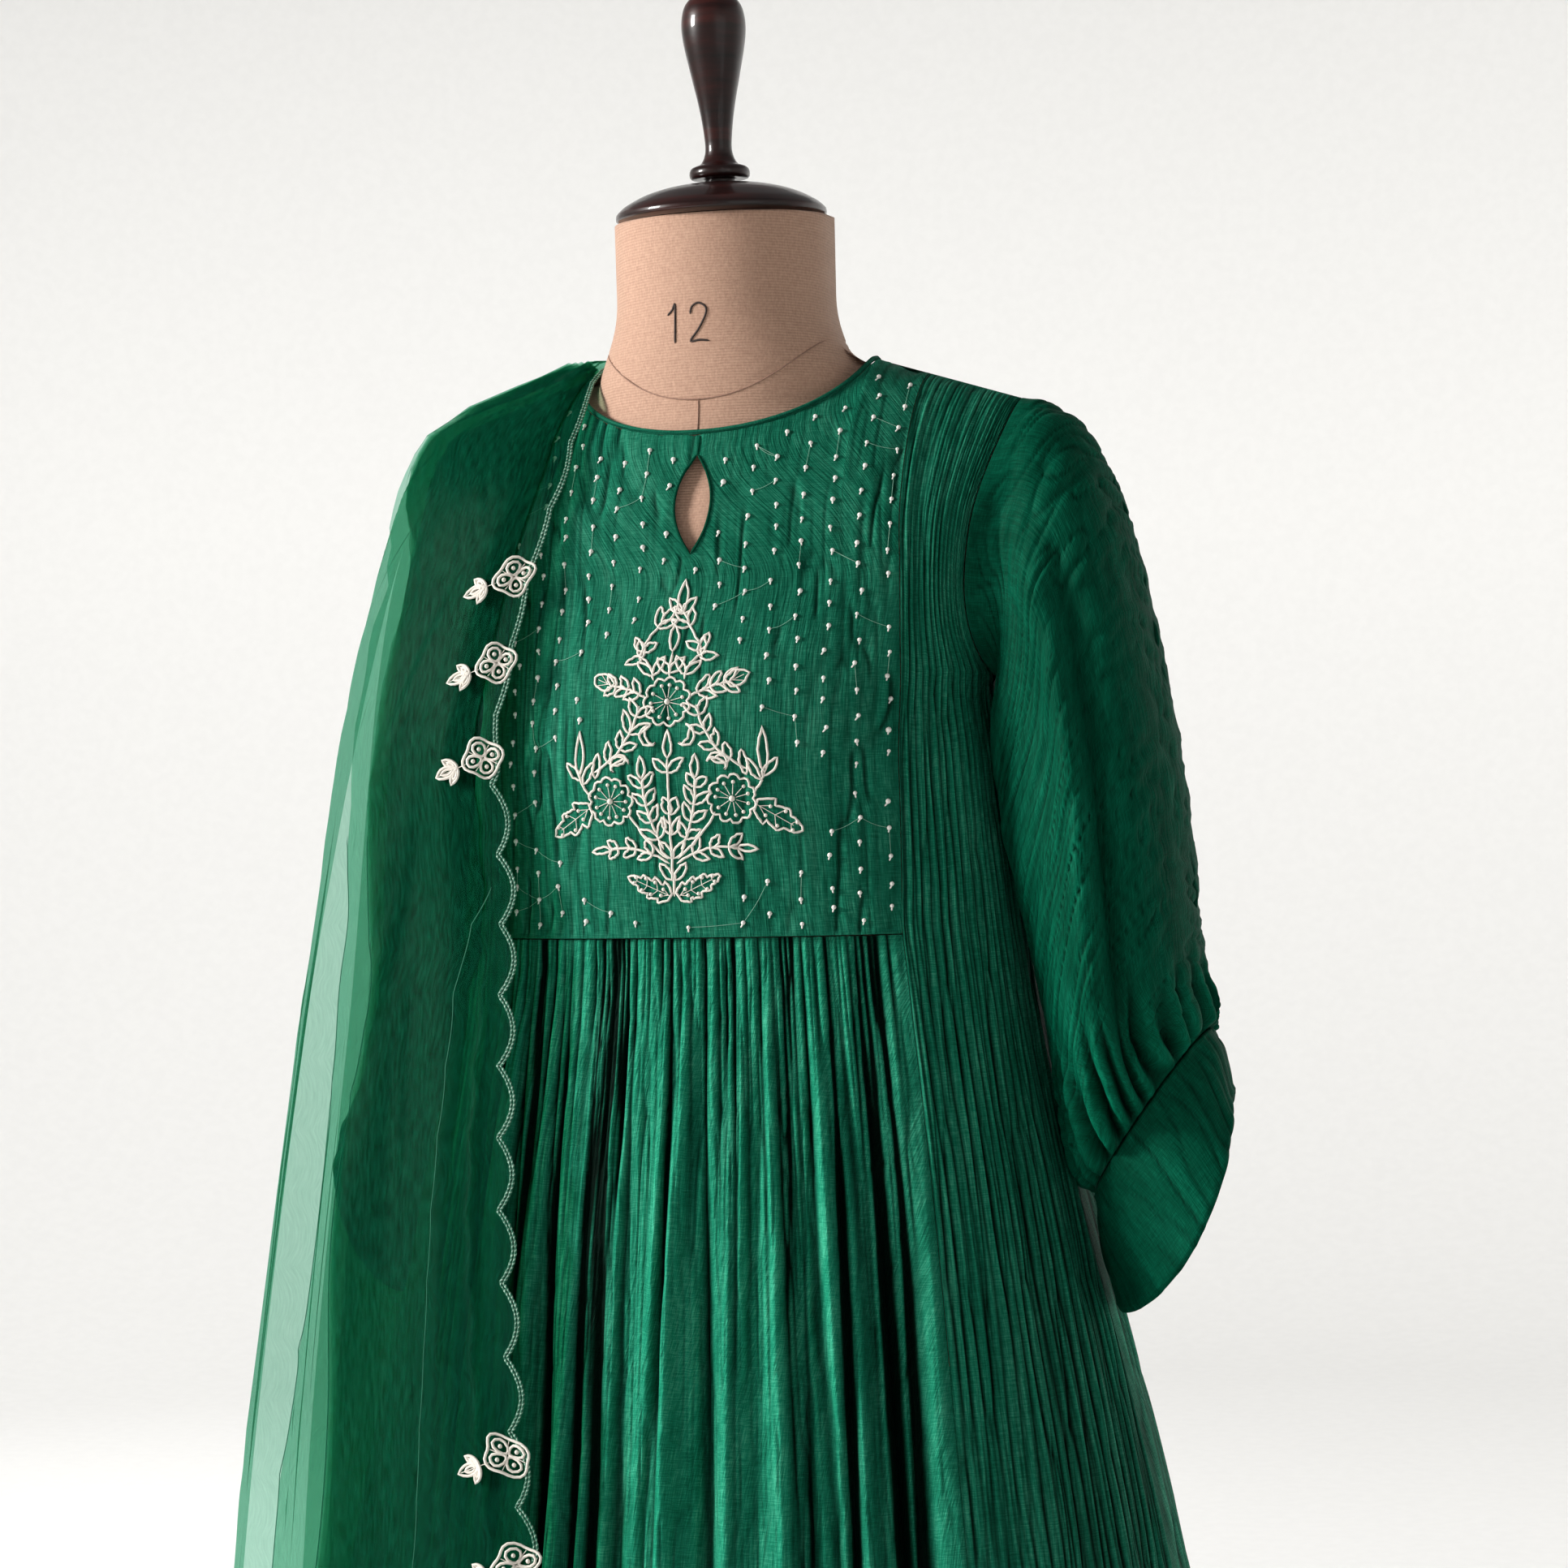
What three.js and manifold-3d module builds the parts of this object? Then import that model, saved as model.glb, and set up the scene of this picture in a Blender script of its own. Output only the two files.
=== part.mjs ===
// A kurta and its dupatta, worn on a tailor's dress form.
// Millimetres, +Z up. The form faces -Y, so +X is the wearer's left.
// The origin is the middle of the stand's underside, on the floor.
import * as THREE from "three";
import { mergeVertices } from "three/addons/utils/BufferGeometryUtils.js";
import Module from "manifold-3d";

const wasm = await Module();
wasm.setup();

// ---- driving dimensions ----------------------------------------------------
const SEAM_GAP = 0.3; // between two cut pieces that are sewn together
const CLOTH = 1.6; // wall of the kurta's plain panels
const GATHERED_CLOTH = 2.2; // wall of the gathered panel, along the body's normal
const ORGANZA = 1.2; // wall of the dupatta

const HEM_Z = 280; // the kurta's lower edge
const YOKE_SEAM_Z = 1090; // the yoke's lower edge, under the bust
const UNDERARM_Z = 1235;
const CHEST_Z = 1290; // above this the panels curve over towards the shoulder
const YOKE_HALF_WIDTH = 119;
const NECK_HALF_WIDTH = 88; // of the kurta's round neckline
const NECK_POINT_Z = 1419; // where the shoulder seam meets the neckline
const FRONT_NECK_DROP = 47;
const BACK_NECK_DROP = 14;
const SHOULDER_HALF_WIDTH = 172;
const SHOULDER_SLOPE = Math.tan(THREE.MathUtils.degToRad(18));
const KEYHOLE = { top: 1360, bottom: 1303, halfWidth: 10.5, x: 4 };

const SECTION_POWER = 2.2; // a horizontal section is a superellipse of this power
const BACK_POWER = 3; // the back is fuller below the arms, because it hangs free of the form
const SHOULDER_POWER = 1.6; // a section over the shoulder, front to ridge

// The kurta's outer face, hem to shoulder: half width at the side seam, depth at the centre.
const KURTA_SECTIONS = [
  { z: 280, halfWidth: 322, front: 235, back: 228 },
  { z: 500, halfWidth: 285, front: 198, back: 194 },
  { z: 757, halfWidth: 238, front: 158, back: 160 },
  { z: 933, halfWidth: 197, front: 136, back: 138 },
  { z: 1020, halfWidth: 178, front: 125, back: 127 },
  { z: 1090, halfWidth: 168, front: 118.5, back: 118 },
  { z: 1150, halfWidth: 161, front: 122, back: 112 },
  { z: 1190, halfWidth: 157, front: 127, back: 110 },
  { z: 1235, halfWidth: 152, front: 121, back: 109 },
  { z: 1290, halfWidth: 176, front: 101, back: 108 },
  { z: 1330, halfWidth: 196, front: 101, back: 108 },
  { z: 1460, halfWidth: 196, front: 101, back: 108 },
];

// The front and back armhole edges: how far they stand from the centre.
const ARMHOLE_EDGE = [
  { z: 1235, x: 152 },
  { z: 1262, x: 149 },
  { z: 1290, x: 150 },
  { z: 1330, x: 157 },
  { z: 1370, x: 167 },
  { z: 1392, x: 172 },
];

// The seam between the gathered panel and a side panel.
const PANEL_SEAM = [
  { z: 280, x: 205 },
  { z: 500, x: 184 },
  { z: 757, x: 157 },
  { z: 933, x: 138 },
  { z: 1090, x: 119 },
  { z: 1120, x: 119 },
  { z: 1460, x: 119 },
];

// The gathered panel: fine gathers at the yoke seam fall into these soft folds.
// at and wide are shares of the kurta's half width, deep is the fold's height at the hem.
const GATHERS = 46;
const GATHER_DEEP = 2.4;
const SKIRT_FOLDS = [
  { at: -0.63, wide: 0.07, deep: 15 },
  { at: -0.47, wide: 0.055, deep: 17 },
  { at: -0.24, wide: 0.1, deep: 19 },
  { at: -0.03, wide: 0.055, deep: 18 },
  { at: 0.15, wide: 0.05, deep: 19 },
  { at: 0.3, wide: 0.05, deep: 17 },
  { at: 0.45, wide: 0.055, deep: 19 },
  { at: 0.65, wide: 0.08, deep: 15 },
];
const SKIRT_FOLD_DEEPEST = 19;
const SIDE_FOLDS = 3;
const BACK_FOLDS = 7;
const HANGING_FOLD_DEEP = 7; // of the side and back panels, at the hem

// A sleeve, ring by ring: the crown is its outer line, the under line faces the body.
const SLEEVE_RINGS = [
  { crownX: 187, crownZ: 1390, underX: 158, underZ: 1224, halfDepth: 56 },
  { crownX: 204, crownZ: 1379, underX: 163, underZ: 1209, halfDepth: 62 },
  { crownX: 219, crownZ: 1357, underX: 168, underZ: 1192, halfDepth: 68 },
  { crownX: 233, crownZ: 1320, underX: 172, underZ: 1173, halfDepth: 72 },
  { crownX: 246, crownZ: 1260, underX: 175, underZ: 1148, halfDepth: 76 },
  { crownX: 258, crownZ: 1190, underX: 177, underZ: 1112, halfDepth: 79 },
  { crownX: 266, crownZ: 1112, underX: 179, underZ: 1062, halfDepth: 80 },
  { crownX: 269, crownZ: 1068, underX: 185, underZ: 1006, halfDepth: 74 },
  { crownX: 271, crownZ: 1046, underX: 196, underZ: 962, halfDepth: 62 },
  { crownX: 271, crownZ: 1033, underX: 205, underZ: 940, halfDepth: 46 },
];
const CUFF_RINGS = [
  { crownX: 271.2, crownZ: 1032.6, underX: 205.2, underZ: 939.6, halfDepth: 45.8 },
  { crownX: 278, crownZ: 1021, underX: 207, underZ: 913, halfDepth: 50 },
  { crownX: 283, crownZ: 997, underX: 217, underZ: 876, halfDepth: 54 },
];
const SLEEVE_GATHERS = 18;
const SLEEVE_GATHER_DEEP = 1.8;
const SLEEVE_VALLEY_DEEP = 13; // the long fold down the front of the sleeve
const SLEEVE_LOBE = 17;
// The right sleeve hangs flatter, under the dupatta.
const RIGHT_SLEEVE_FULLNESS = 0.42;

// The dupatta over the wearer's right shoulder: its inner edge, its outer line, how far its
// front and back hang from the centre, and how square its plan is.
const DUPATTA_SECTIONS = [
  { z: 300, inner: 52, side: 345, front: 266, back: 250, flap: 96, power: 2.2 },
  { z: 500, inner: 60, side: 330, front: 228, back: 216, flap: 88, power: 2.2 },
  { z: 751, inner: 73, side: 307, front: 184, back: 180, flap: 67, power: 2.2 },
  { z: 828, inner: 84, side: 298, front: 172, back: 168, flap: 50, power: 2.2 },
  { z: 939, inner: 96, side: 283, front: 156, back: 154, flap: 34, power: 2.2 },
  { z: 1027, inner: 100, side: 270, front: 142, back: 140, flap: 24, power: 2.2 },
  { z: 1117, inner: 102.5, side: 256, front: 132, back: 130, flap: 12, power: 2.2 },
  { z: 1194, inner: 107, side: 243, front: 134, back: 122, flap: 3, power: 2.25 },
  { z: 1243, inner: 98, side: 234, front: 128, back: 119, flap: 0, power: 2.3 },
  { z: 1298, inner: 90, side: 221, front: 110, back: 115, flap: 0, power: 2.4 },
  { z: 1345, inner: 77, side: 205, front: 94, back: 100, flap: 0, power: 2.6 },
  { z: 1372, inner: 75, side: 195, front: 74, back: 78, flap: 0, power: 2.6 },
  { z: 1390, inner: 75, side: 184, front: 54, back: 58, flap: 0, power: 2.4 },
  { z: 1404, inner: 75, side: 150, front: 38, back: 42, flap: 0, power: 2.3 },
  { z: 1416, inner: 75, side: 114, front: 21, back: 26, flap: 0, power: 2.3 },
  { z: 1424, inner: 75.5, side: 92, front: 10, back: 13, flap: 0, power: 2.3 },
];
const DUPATTA_TOP_Z = 1429;
const DUPATTA_SLIT_Z = 960; // below this the front and the back hang apart
const SLIT_OPENING = THREE.MathUtils.degToRad(11);
const SCALLOP_LENGTH = 76;
const SCALLOP_DEEP = 6;
const DUPATTA_CLEAR = 2.4; // from the kurta's outer face to the organza's outer face

// The form inside: its own hip, waist and bust.
const FORM_SECTIONS = [
  { z: 848, halfWidth: 148, front: 98, back: 110 },
  { z: 858, halfWidth: 155, front: 105, back: 115 },
  { z: 910, halfWidth: 157, front: 108, back: 116 },
  { z: 960, halfWidth: 149, front: 104, back: 111 },
  { z: 1030, halfWidth: 126, front: 92, back: 95 },
  { z: 1090, halfWidth: 131, front: 98, back: 96 },
  { z: 1140, halfWidth: 141, front: 109, back: 100 },
  { z: 1190, halfWidth: 148, front: 119, back: 103 },
  { z: 1235, halfWidth: 147, front: 114, back: 102.5 },
];
const FORM_SIDE = [
  { z: 1235, x: 146 },
  { z: 1262, x: 145 },
  { z: 1290, x: 146 },
  { z: 1330, x: 153 },
  { z: 1370, x: 163 },
  { z: 1392, x: 168 },
];
const FORM_UNDER_CLOTH = CLOTH + 2.4; // from the kurta's outer face to the form
const FORM_RIDGE_DEPTH = 9; // the rounding of the form's shoulder line
const NECK_TOP_Z = 1502;
const NECK_HALF = { width: 63, depth: 55 };
const NECK_FLARE = 7; // added to its half width where it runs into the shoulder
const NECK_FORWARD = { base: 14, top: 18 }; // how far the neck stands forward
const NECK_TILT = THREE.MathUtils.degToRad(4);
const CAP_RADIUS = 61;
const CAP_HEIGHT = 21.5;
const POLE_RADIUS = 14;
const BASE_RADIUS = 215;
const BASE_HEIGHT = 60; // to the top of the hub that holds the pole

// ---- curves and tables -----------------------------------------------------
const clamp01 = (t) => Math.min(1, Math.max(0, t));
const smooth = (t) => clamp01(t) ** 2 * (3 - 2 * clamp01(t));
const mix = (a, b, t) => a + (b - a) * t;

// A smooth curve through one column of a table that is sorted by z.
function column(table, name) {
  const slope = table.map((row, i) => {
    const a = table[Math.max(0, i - 1)];
    const b = table[Math.min(table.length - 1, i + 1)];
    return (b[name] - a[name]) / (b.z - a.z);
  });
  return (z) => {
    const last = table.length - 1;
    if (z <= table[0].z) return table[0][name];
    if (z >= table[last].z) return table[last][name];
    const i = table.findIndex((row, k) => k < last && z <= table[k + 1].z);
    const step = table[i + 1].z - table[i].z;
    const t = (z - table[i].z) / step;
    return (
      (2 * t ** 3 - 3 * t ** 2 + 1) * table[i][name] +
      (t ** 3 - 2 * t ** 2 + t) * step * slope[i] +
      (3 * t ** 2 - 2 * t ** 3) * table[i + 1][name] +
      (t ** 3 - t ** 2) * step * slope[i + 1]
    );
  };
}

// The larger of two lengths, rounded off where they are within k of each other.
function smoothMax(a, b, k) {
  const near = Math.max(k - Math.abs(a - b), 0) / k;
  return Math.max(a, b) + (near * near * k) / 4;
}

const kurtaHalfWidth = column(KURTA_SECTIONS, "halfWidth");
const kurtaDepth = { front: column(KURTA_SECTIONS, "front"), back: column(KURTA_SECTIONS, "back") };
const armholeEdge = column(ARMHOLE_EDGE, "x");
const panelSeam = column(PANEL_SEAM, "x");
const signOf = { front: -1, back: 1 };

// The height of the shoulder's ridge at a distance from the centre.
const ridgeHeight = (x) => NECK_POINT_Z - (Math.abs(x) - NECK_HALF_WIDTH) * SHOULDER_SLOPE;

// How far the kurta's outer face stands from the plane y = 0.
function bodyDepth(x, z, face) {
  const fuller = face === "back" ? smooth((UNDERARM_Z - z) / 130) : 0;
  const power = mix(SECTION_POWER, BACK_POWER, fuller);
  const across = clamp01(Math.abs(x) / kurtaHalfWidth(z)) ** power;
  const depth = kurtaDepth[face](z) * (1 - across) ** (1 / power);
  if (z <= CHEST_Z) return depth;
  const up = clamp01((z - CHEST_Z) / (ridgeHeight(x) - CHEST_Z)) ** SHOULDER_POWER;
  return depth * (1 - up) ** (1 / SHOULDER_POWER);
}

// ---- folds -----------------------------------------------------------------
// Fine gathers under the yoke seam, as a wave across the panel: share runs -1 to 1.
function gatherWave(share, z) {
  const below = YOKE_SEAM_Z - z;
  const amount = mix(0.7, 1, smooth(below / 30)) * (1 - smooth((below - 60) / 110));
  return GATHER_DEEP * amount * Math.cos(Math.PI * GATHERS * share);
}

// Soft hanging folds, each a rounded crest that grows from the seam to the hem.
function skirtFold(x, z) {
  const share = x / kurtaHalfWidth(z);
  const grown = 0.75 * smooth((YOKE_SEAM_Z - z) / 260) + 0.25 * smooth((YOKE_SEAM_Z - z) / 800);
  const crest = SKIRT_FOLDS.reduce(
    (sum, fold) => sum + fold.deep * Math.exp(-(((share - fold.at) / fold.wide) ** 2)),
    0,
  );
  return grown * crest;
}

// A plain wave for the side and back panels, which grows towards the hem.
function hangingFold(share, count, z) {
  const grown = smooth((UNDERARM_Z - 60 - z) / 800);
  return -HANGING_FOLD_DEEP * grown * (0.5 - 0.5 * Math.cos(2 * Math.PI * count * share));
}

// ---- walls of cloth --------------------------------------------------------
// An outer face in triangles and quads becomes a closed wall: an inner face, and a rim on
// every free edge.
function thicken(outer, inner, cells) {
  const faces = cells.flatMap(([a, b, c, d]) => (d === undefined ? [[a, b, c]] : [[a, b, c], [a, c, d]]));
  const used = new Map();
  for (const [a, b, c] of faces)
    for (const [p, q] of [[a, b], [b, c], [c, a]]) used.set(p + "," + q, [p, q]);
  const n = outer.length;
  const index = [];
  for (const [a, b, c] of faces) index.push(a, b, c, n + c, n + b, n + a);
  for (const [p, q] of used.values())
    if (!used.has(q + "," + p)) index.push(q, p, n + p, q, n + p, n + q);
  const position = [...outer, ...inner].flatMap((v) => [v.x, v.y, v.z]);
  return { position, index };
}

function volumeOf({ position, index }) {
  const at = (i) => new THREE.Vector3().fromArray(position, 3 * i);
  let sum = 0;
  for (let i = 0; i < index.length; i += 3)
    sum += at(index[i]).dot(at(index[i + 1]).cross(at(index[i + 2])));
  return sum / 6;
}

// A geometry with its faces pointing out.
function closed(shell) {
  const index = [...shell.index];
  if (volumeOf(shell) < 0)
    for (let i = 0; i < index.length; i += 3) [index[i], index[i + 1]] = [index[i + 1], index[i]];
  return new THREE.BufferGeometry()
    .setAttribute("position", new THREE.Float32BufferAttribute(shell.position, 3))
    .setIndex(index);
}

// A grid of points, rows by columns, as one wall. ring joins the last column to the first.
function gridWall(outerRows, innerRows, ring = false) {
  const columns = outerRows[0].length;
  const quads = [];
  for (let r = 0; r + 1 < outerRows.length; r++)
    for (let c = 0; c + (ring ? 0 : 1) < columns; c++) {
      const next = (c + 1) % columns;
      quads.push([
        r * columns + c,
        r * columns + next,
        (r + 1) * columns + next,
        (r + 1) * columns + c,
      ]);
    }
  return closed(thicken(outerRows.flat(), innerRows.flat(), quads));
}

// The outward normal of the kurta's smooth outer face.
function bodyNormal(x, z, face) {
  const step = 0.5;
  const slopeX = (bodyDepth(x + step, z, face) - bodyDepth(x - step, z, face)) / (2 * step);
  const slopeZ = (bodyDepth(x, z + step, face) - bodyDepth(x, z - step, face)) / (2 * step);
  return new THREE.Vector3(-slopeX, signOf[face], -slopeZ).normalize();
}

// A point of the kurta, moved out along the face's normal.
function bodyPoint(x, z, face, out) {
  const depth = Math.max(bodyDepth(x, z, face), SEAM_GAP / 2);
  const point = new THREE.Vector3(x, signOf[face] * depth, z);
  point.addScaledVector(bodyNormal(x, z, face), out);
  point.y = signOf[face] * Math.max(signOf[face] * point.y, SEAM_GAP / 2);
  return point;
}

// Heights from low to high. Above the chest they close up, so that the shoulder is round.
function heights(low, high, x, below, above) {
  const list = [];
  const start = Math.max(low, CHEST_Z);
  if (low < CHEST_Z) {
    const top = Math.min(high, CHEST_Z);
    for (let i = 0; i < below; i++) list.push(mix(low, top, i / below));
  }
  const rise = ridgeHeight(x) - CHEST_Z;
  const angleAt = (z) => Math.asin(clamp01((z - CHEST_Z) / rise) ** (SHOULDER_POWER / 2));
  const from = angleAt(start);
  const to = angleAt(high);
  for (let i = 0; i <= above; i++)
    list.push(CHEST_Z + rise * Math.sin(mix(from, to, i / above)) ** (2 / SHOULDER_POWER));
  return list;
}

const necklineHeight = (x, drop) =>
  NECK_POINT_Z - drop * Math.sqrt(1 - clamp01(Math.abs(x) / NECK_HALF_WIDTH) ** 2);

const topEdge = (x, drop) =>
  Math.abs(x) < NECK_HALF_WIDTH ? necklineHeight(x, drop) : ridgeHeight(x) - 0.02;

// ---- the kurta's panels ----------------------------------------------------
function transpose(columnsOfPoints) {
  return columnsOfPoints[0].map((_, r) => columnsOfPoints.map((points) => points[r]));
}

// Columns of points at fixed distances from the centre, from a lower edge to the top edge.
function yokeColumns() {
  const inNeck = 7;
  const xs = [];
  for (let i = -inNeck; i <= inNeck; i++)
    xs.push(NECK_HALF_WIDTH * Math.sin((i / inNeck) * (Math.PI / 2)));
  const edge = YOKE_HALF_WIDTH - SEAM_GAP;
  const outer = [mix(NECK_HALF_WIDTH, edge, 0.5), edge];
  return [...outer.map((x) => -x).reverse(), ...xs, ...outer];
}

function frontYoke() {
  const outer = [];
  const inner = [];
  for (const x of yokeColumns()) {
    const zs = heights(YOKE_SEAM_Z + SEAM_GAP, topEdge(x, FRONT_NECK_DROP), x, 6, 6);
    outer.push(zs.map((z) => bodyPoint(x, z, "front", 0)));
    inner.push(zs.map((z) => bodyPoint(x, z, "front", -CLOTH)));
  }
  return cut(gridWall(transpose(outer), transpose(inner)), keyholeCutter());
}

// A pointed oval through the yoke at the centre front.
function keyholeCutter() {
  const middle = (KEYHOLE.top + KEYHOLE.bottom) / 2;
  const half = (KEYHOLE.top - KEYHOLE.bottom) / 2;
  const outline = new THREE.Shape();
  outline.moveTo(0, -half);
  outline.quadraticCurveTo(2 * KEYHOLE.halfWidth, 0, 0, half);
  outline.quadraticCurveTo(-2 * KEYHOLE.halfWidth, 0, 0, -half);
  const depth = 140;
  const cutter = new THREE.ExtrudeGeometry(outline, { depth, bevelEnabled: false, curveSegments: 8 });
  return cutter.rotateX(Math.PI / 2).translate(KEYHOLE.x, 0, middle);
}

function cut(geometry, cutter) {
  const made = solidOf(geometry).subtract(solidOf(cutter)).getMesh();
  const points = [];
  for (let i = 0; i < made.numVert; i++)
    points.push(...made.vertProperties.subarray(i * made.numProp, i * made.numProp + 3));
  return new THREE.BufferGeometry()
    .setAttribute("position", new THREE.Float32BufferAttribute(points, 3))
    .setIndex([...made.triVerts]);
}

function solidOf(geometry) {
  const bare = geometry.clone();
  bare.deleteAttribute("normal");
  bare.deleteAttribute("uv");
  const merged = mergeVertices(bare, 1e-4);
  return new wasm.Manifold(
    new wasm.Mesh({
      numProp: 3,
      vertProperties: merged.attributes.position.array,
      triVerts: new Uint32Array(merged.index.array),
    }),
  );
}

// The gathered panel under the yoke: two columns to a gather, so crest and trough alternate.
// Where the gathers have run out, every second column stops.
function gatheredSkirt() {
  const rows = [0.3, 12, 30, 62, 108, 175, 245, 340, 460, 590, 700, YOKE_SEAM_Z - HEM_Z];
  const halved = 5; // the first row with half the columns
  const outer = [];
  const inner = [];
  const grid = rows.map((below, r) => {
    const z = YOKE_SEAM_Z - below;
    const edge = panelSeam(z) - SEAM_GAP / 2;
    const line = [];
    for (let c = 0; c <= 2 * GATHERS; c += r < halved ? 1 : 2) {
      const share = c / GATHERS - 1;
      const x = edge * share;
      const out = skirtFold(x, z) * (1 - share ** 20) + gatherWave(share, z);
      line.push(outer.push(bodyPoint(x, z, "front", out)) - 1);
      inner.push(bodyPoint(x, z, "front", out - GATHERED_CLOTH));
    }
    return line;
  });
  const faces = [];
  for (let r = 0; r + 1 < rows.length; r++) {
    const [top, low] = [grid[r], grid[r + 1]];
    for (let c = 0; c + 1 < low.length; c++) {
      if (r + 1 !== halved) faces.push([top[c], top[c + 1], low[c + 1], low[c]]);
      else {
        faces.push([top[2 * c], top[2 * c + 1], low[c]]);
        faces.push([top[2 * c + 1], low[c + 1], low[c]]);
        faces.push([top[2 * c + 1], top[2 * c + 2], low[c + 1]]);
      }
    }
  }
  return closed(thicken(outer, inner, faces));
}

const outerEdge = (z) => (z < UNDERARM_Z ? kurtaHalfWidth(z) : armholeEdge(z));

// Where a column that leans outwards as it rises meets the panel's top edge.
function columnTop(xAt, drop) {
  let z = NECK_POINT_Z;
  for (let i = 0; i < 12; i++) z = topEdge(xAt(z), drop);
  return z;
}

// A side front, from hem to shoulder. side is 1 for the wearer's left and -1 for the right.
function sideFront(side) {
  const columns = 9;
  const low = [HEM_Z, 400, 540, 690, 840, 960, 1060, 1150];
  const outer = [];
  const inner = [];
  for (let c = 0; c <= columns; c++) {
    const share = Math.sin((c / columns) * (Math.PI / 2));
    const xAt = (z) => mix(panelSeam(z) + SEAM_GAP / 2, outerEdge(z), share);
    const top = columnTop(xAt, FRONT_NECK_DROP);
    const zs = [...low, ...heights(UNDERARM_Z, top, xAt(top), 2, 6)];
    const place = (z, out) => {
      const fold = hangingFold(c / columns, SIDE_FOLDS, z);
      return bodyPoint(side * xAt(z), z, "front", out + fold);
    };
    outer.push(zs.map((z) => place(z, 0)));
    inner.push(zs.map((z) => place(z, -CLOTH)));
  }
  return gridWall(transpose(outer), transpose(inner));
}

// The back, in one piece from hem to neck.
function backPanel() {
  const half = 14;
  const low = [HEM_Z, 440, 620, 800, 960, 1080, 1170];
  const outer = [];
  const inner = [];
  for (let c = -half; c <= half; c++) {
    const share = Math.sin((c / half) * (Math.PI / 2));
    const xAt = (z) => outerEdge(z) * share;
    const top = columnTop(xAt, BACK_NECK_DROP);
    const zs = [...low, ...heights(UNDERARM_Z, top, xAt(top), 2, 5)];
    const place = (z, out) =>
      bodyPoint(xAt(z), z, "back", out + hangingFold((share + 1) / 2, BACK_FOLDS, z));
    outer.push(zs.map((z) => place(z, 0)));
    inner.push(zs.map((z) => place(z, -CLOTH)));
  }
  return gridWall(transpose(outer), transpose(inner));
}

// A narrow bound edge that runs all round the neck, just above the panels' edges.
function neckBinding() {
  const steps = 44;
  const sides = 5;
  const radius = 1.5;
  const centre = [];
  for (let i = 0; i < steps; i++) {
    const around = (i / steps) * 2 * Math.PI;
    const face = Math.sin(around) < 0 ? "front" : "back";
    const drop = face === "front" ? FRONT_NECK_DROP : BACK_NECK_DROP;
    const x = NECK_HALF_WIDTH * Math.cos(around);
    const z = NECK_POINT_Z - drop * Math.abs(Math.sin(around));
    const y = signOf[face] * bodyDepth(x, z, face);
    centre.push(new THREE.Vector3(x, y, z));
  }
  const middle = new THREE.Vector3(0, -8, NECK_POINT_Z + 60);
  const rings = centre.map((point, i) => {
    const along = centre[(i + 1) % steps].clone().sub(centre[(i + steps - 1) % steps]).normalize();
    const inward = middle.clone().sub(point);
    inward.addScaledVector(along, -inward.dot(along)).normalize();
    const side = new THREE.Vector3().crossVectors(along, inward);
    const core = point.clone().addScaledVector(inward, radius + SEAM_GAP + 0.9);
    return Array.from({ length: sides }, (_, k) => {
      const turn = (k / sides) * 2 * Math.PI;
      return core
        .clone()
        .addScaledVector(inward, radius * Math.cos(turn))
        .addScaledVector(side, radius * Math.sin(turn));
    });
  });
  return tubeRing(rings);
}

// A closed ring of closed rings.
function tubeRing(rings) {
  const sides = rings[0].length;
  const index = [];
  rings.forEach((_, r) => {
    const next = (r + 1) % rings.length;
    for (let c = 0; c < sides; c++) {
      const d = (c + 1) % sides;
      const [p, q, s, t] = [r * sides + c, r * sides + d, next * sides + d, next * sides + c];
      index.push(p, q, s, p, s, t);
    }
  });
  return closed({ position: rings.flat().flatMap((v) => [v.x, v.y, v.z]), index });
}

// ---- sleeves and cuffs -----------------------------------------------------
// A ring is an ellipse between its crown and its under line. angle 0 is the crown, and the
// front of the sleeve is at positive angles.
function ringPoint(ring, angle, out) {
  const across = new THREE.Vector3(ring.crownX - ring.underX, 0, ring.crownZ - ring.underZ);
  const half = across.length() / 2;
  across.normalize();
  const centre = new THREE.Vector3(
    (ring.crownX + ring.underX) / 2,
    0,
    (ring.crownZ + ring.underZ) / 2,
  );
  return centre
    .addScaledVector(across, (half + out) * Math.cos(angle))
    .add(new THREE.Vector3(0, -(ring.halfDepth + out) * Math.sin(angle), 0));
}

// The long valley down the front of a sleeve, and the lobe of cloth between it and the body.
function sleeveValley(angle, along) {
  const valley = -SLEEVE_VALLEY_DEEP * Math.exp(-(((angle - 1.35) / 0.22) ** 2));
  const beside = 1 - smooth((along - 0.5) / 0.28);
  const lobe = SLEEVE_LOBE * Math.exp(-(((angle - 2.7) / 0.5) ** 2)) * beside;
  const amount = smooth((along - 0.08) / 0.26) * (1 - smooth((along - 0.82) / 0.18));
  return (valley + lobe) * amount;
}

const SLEEVE_COLUMNS = 2 * SLEEVE_GATHERS;

// The first ring follows the armhole, just outside the panels' edges.
function armholePoint(angle, inward) {
  const top = ridgeHeight(SHOULDER_HALF_WIDTH);
  const middle = (top + UNDERARM_Z) / 2;
  const z = middle + ((top - UNDERARM_Z) / 2) * Math.cos(angle);
  const face = Math.sin(angle) >= 0 ? "front" : "back";
  const x = Math.min(armholeEdge(z), kurtaHalfWidth(z));
  const y = signOf[face] * bodyDepth(x, z, face);
  const point = new THREE.Vector3(x + 2.5 * SEAM_GAP, y, z);
  return point.addScaledVector(new THREE.Vector3(0, -y, middle - z).normalize(), inward);
}

const squeezed = (ring, fullness) => ({
  ...ring,
  crownX: ring.underX + (ring.crownX - ring.underX) * fullness,
  crownZ: ring.crownZ - 16 * (1 - fullness),
  halfDepth: ring.halfDepth * mix(0.72, 1, fullness),
});

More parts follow.
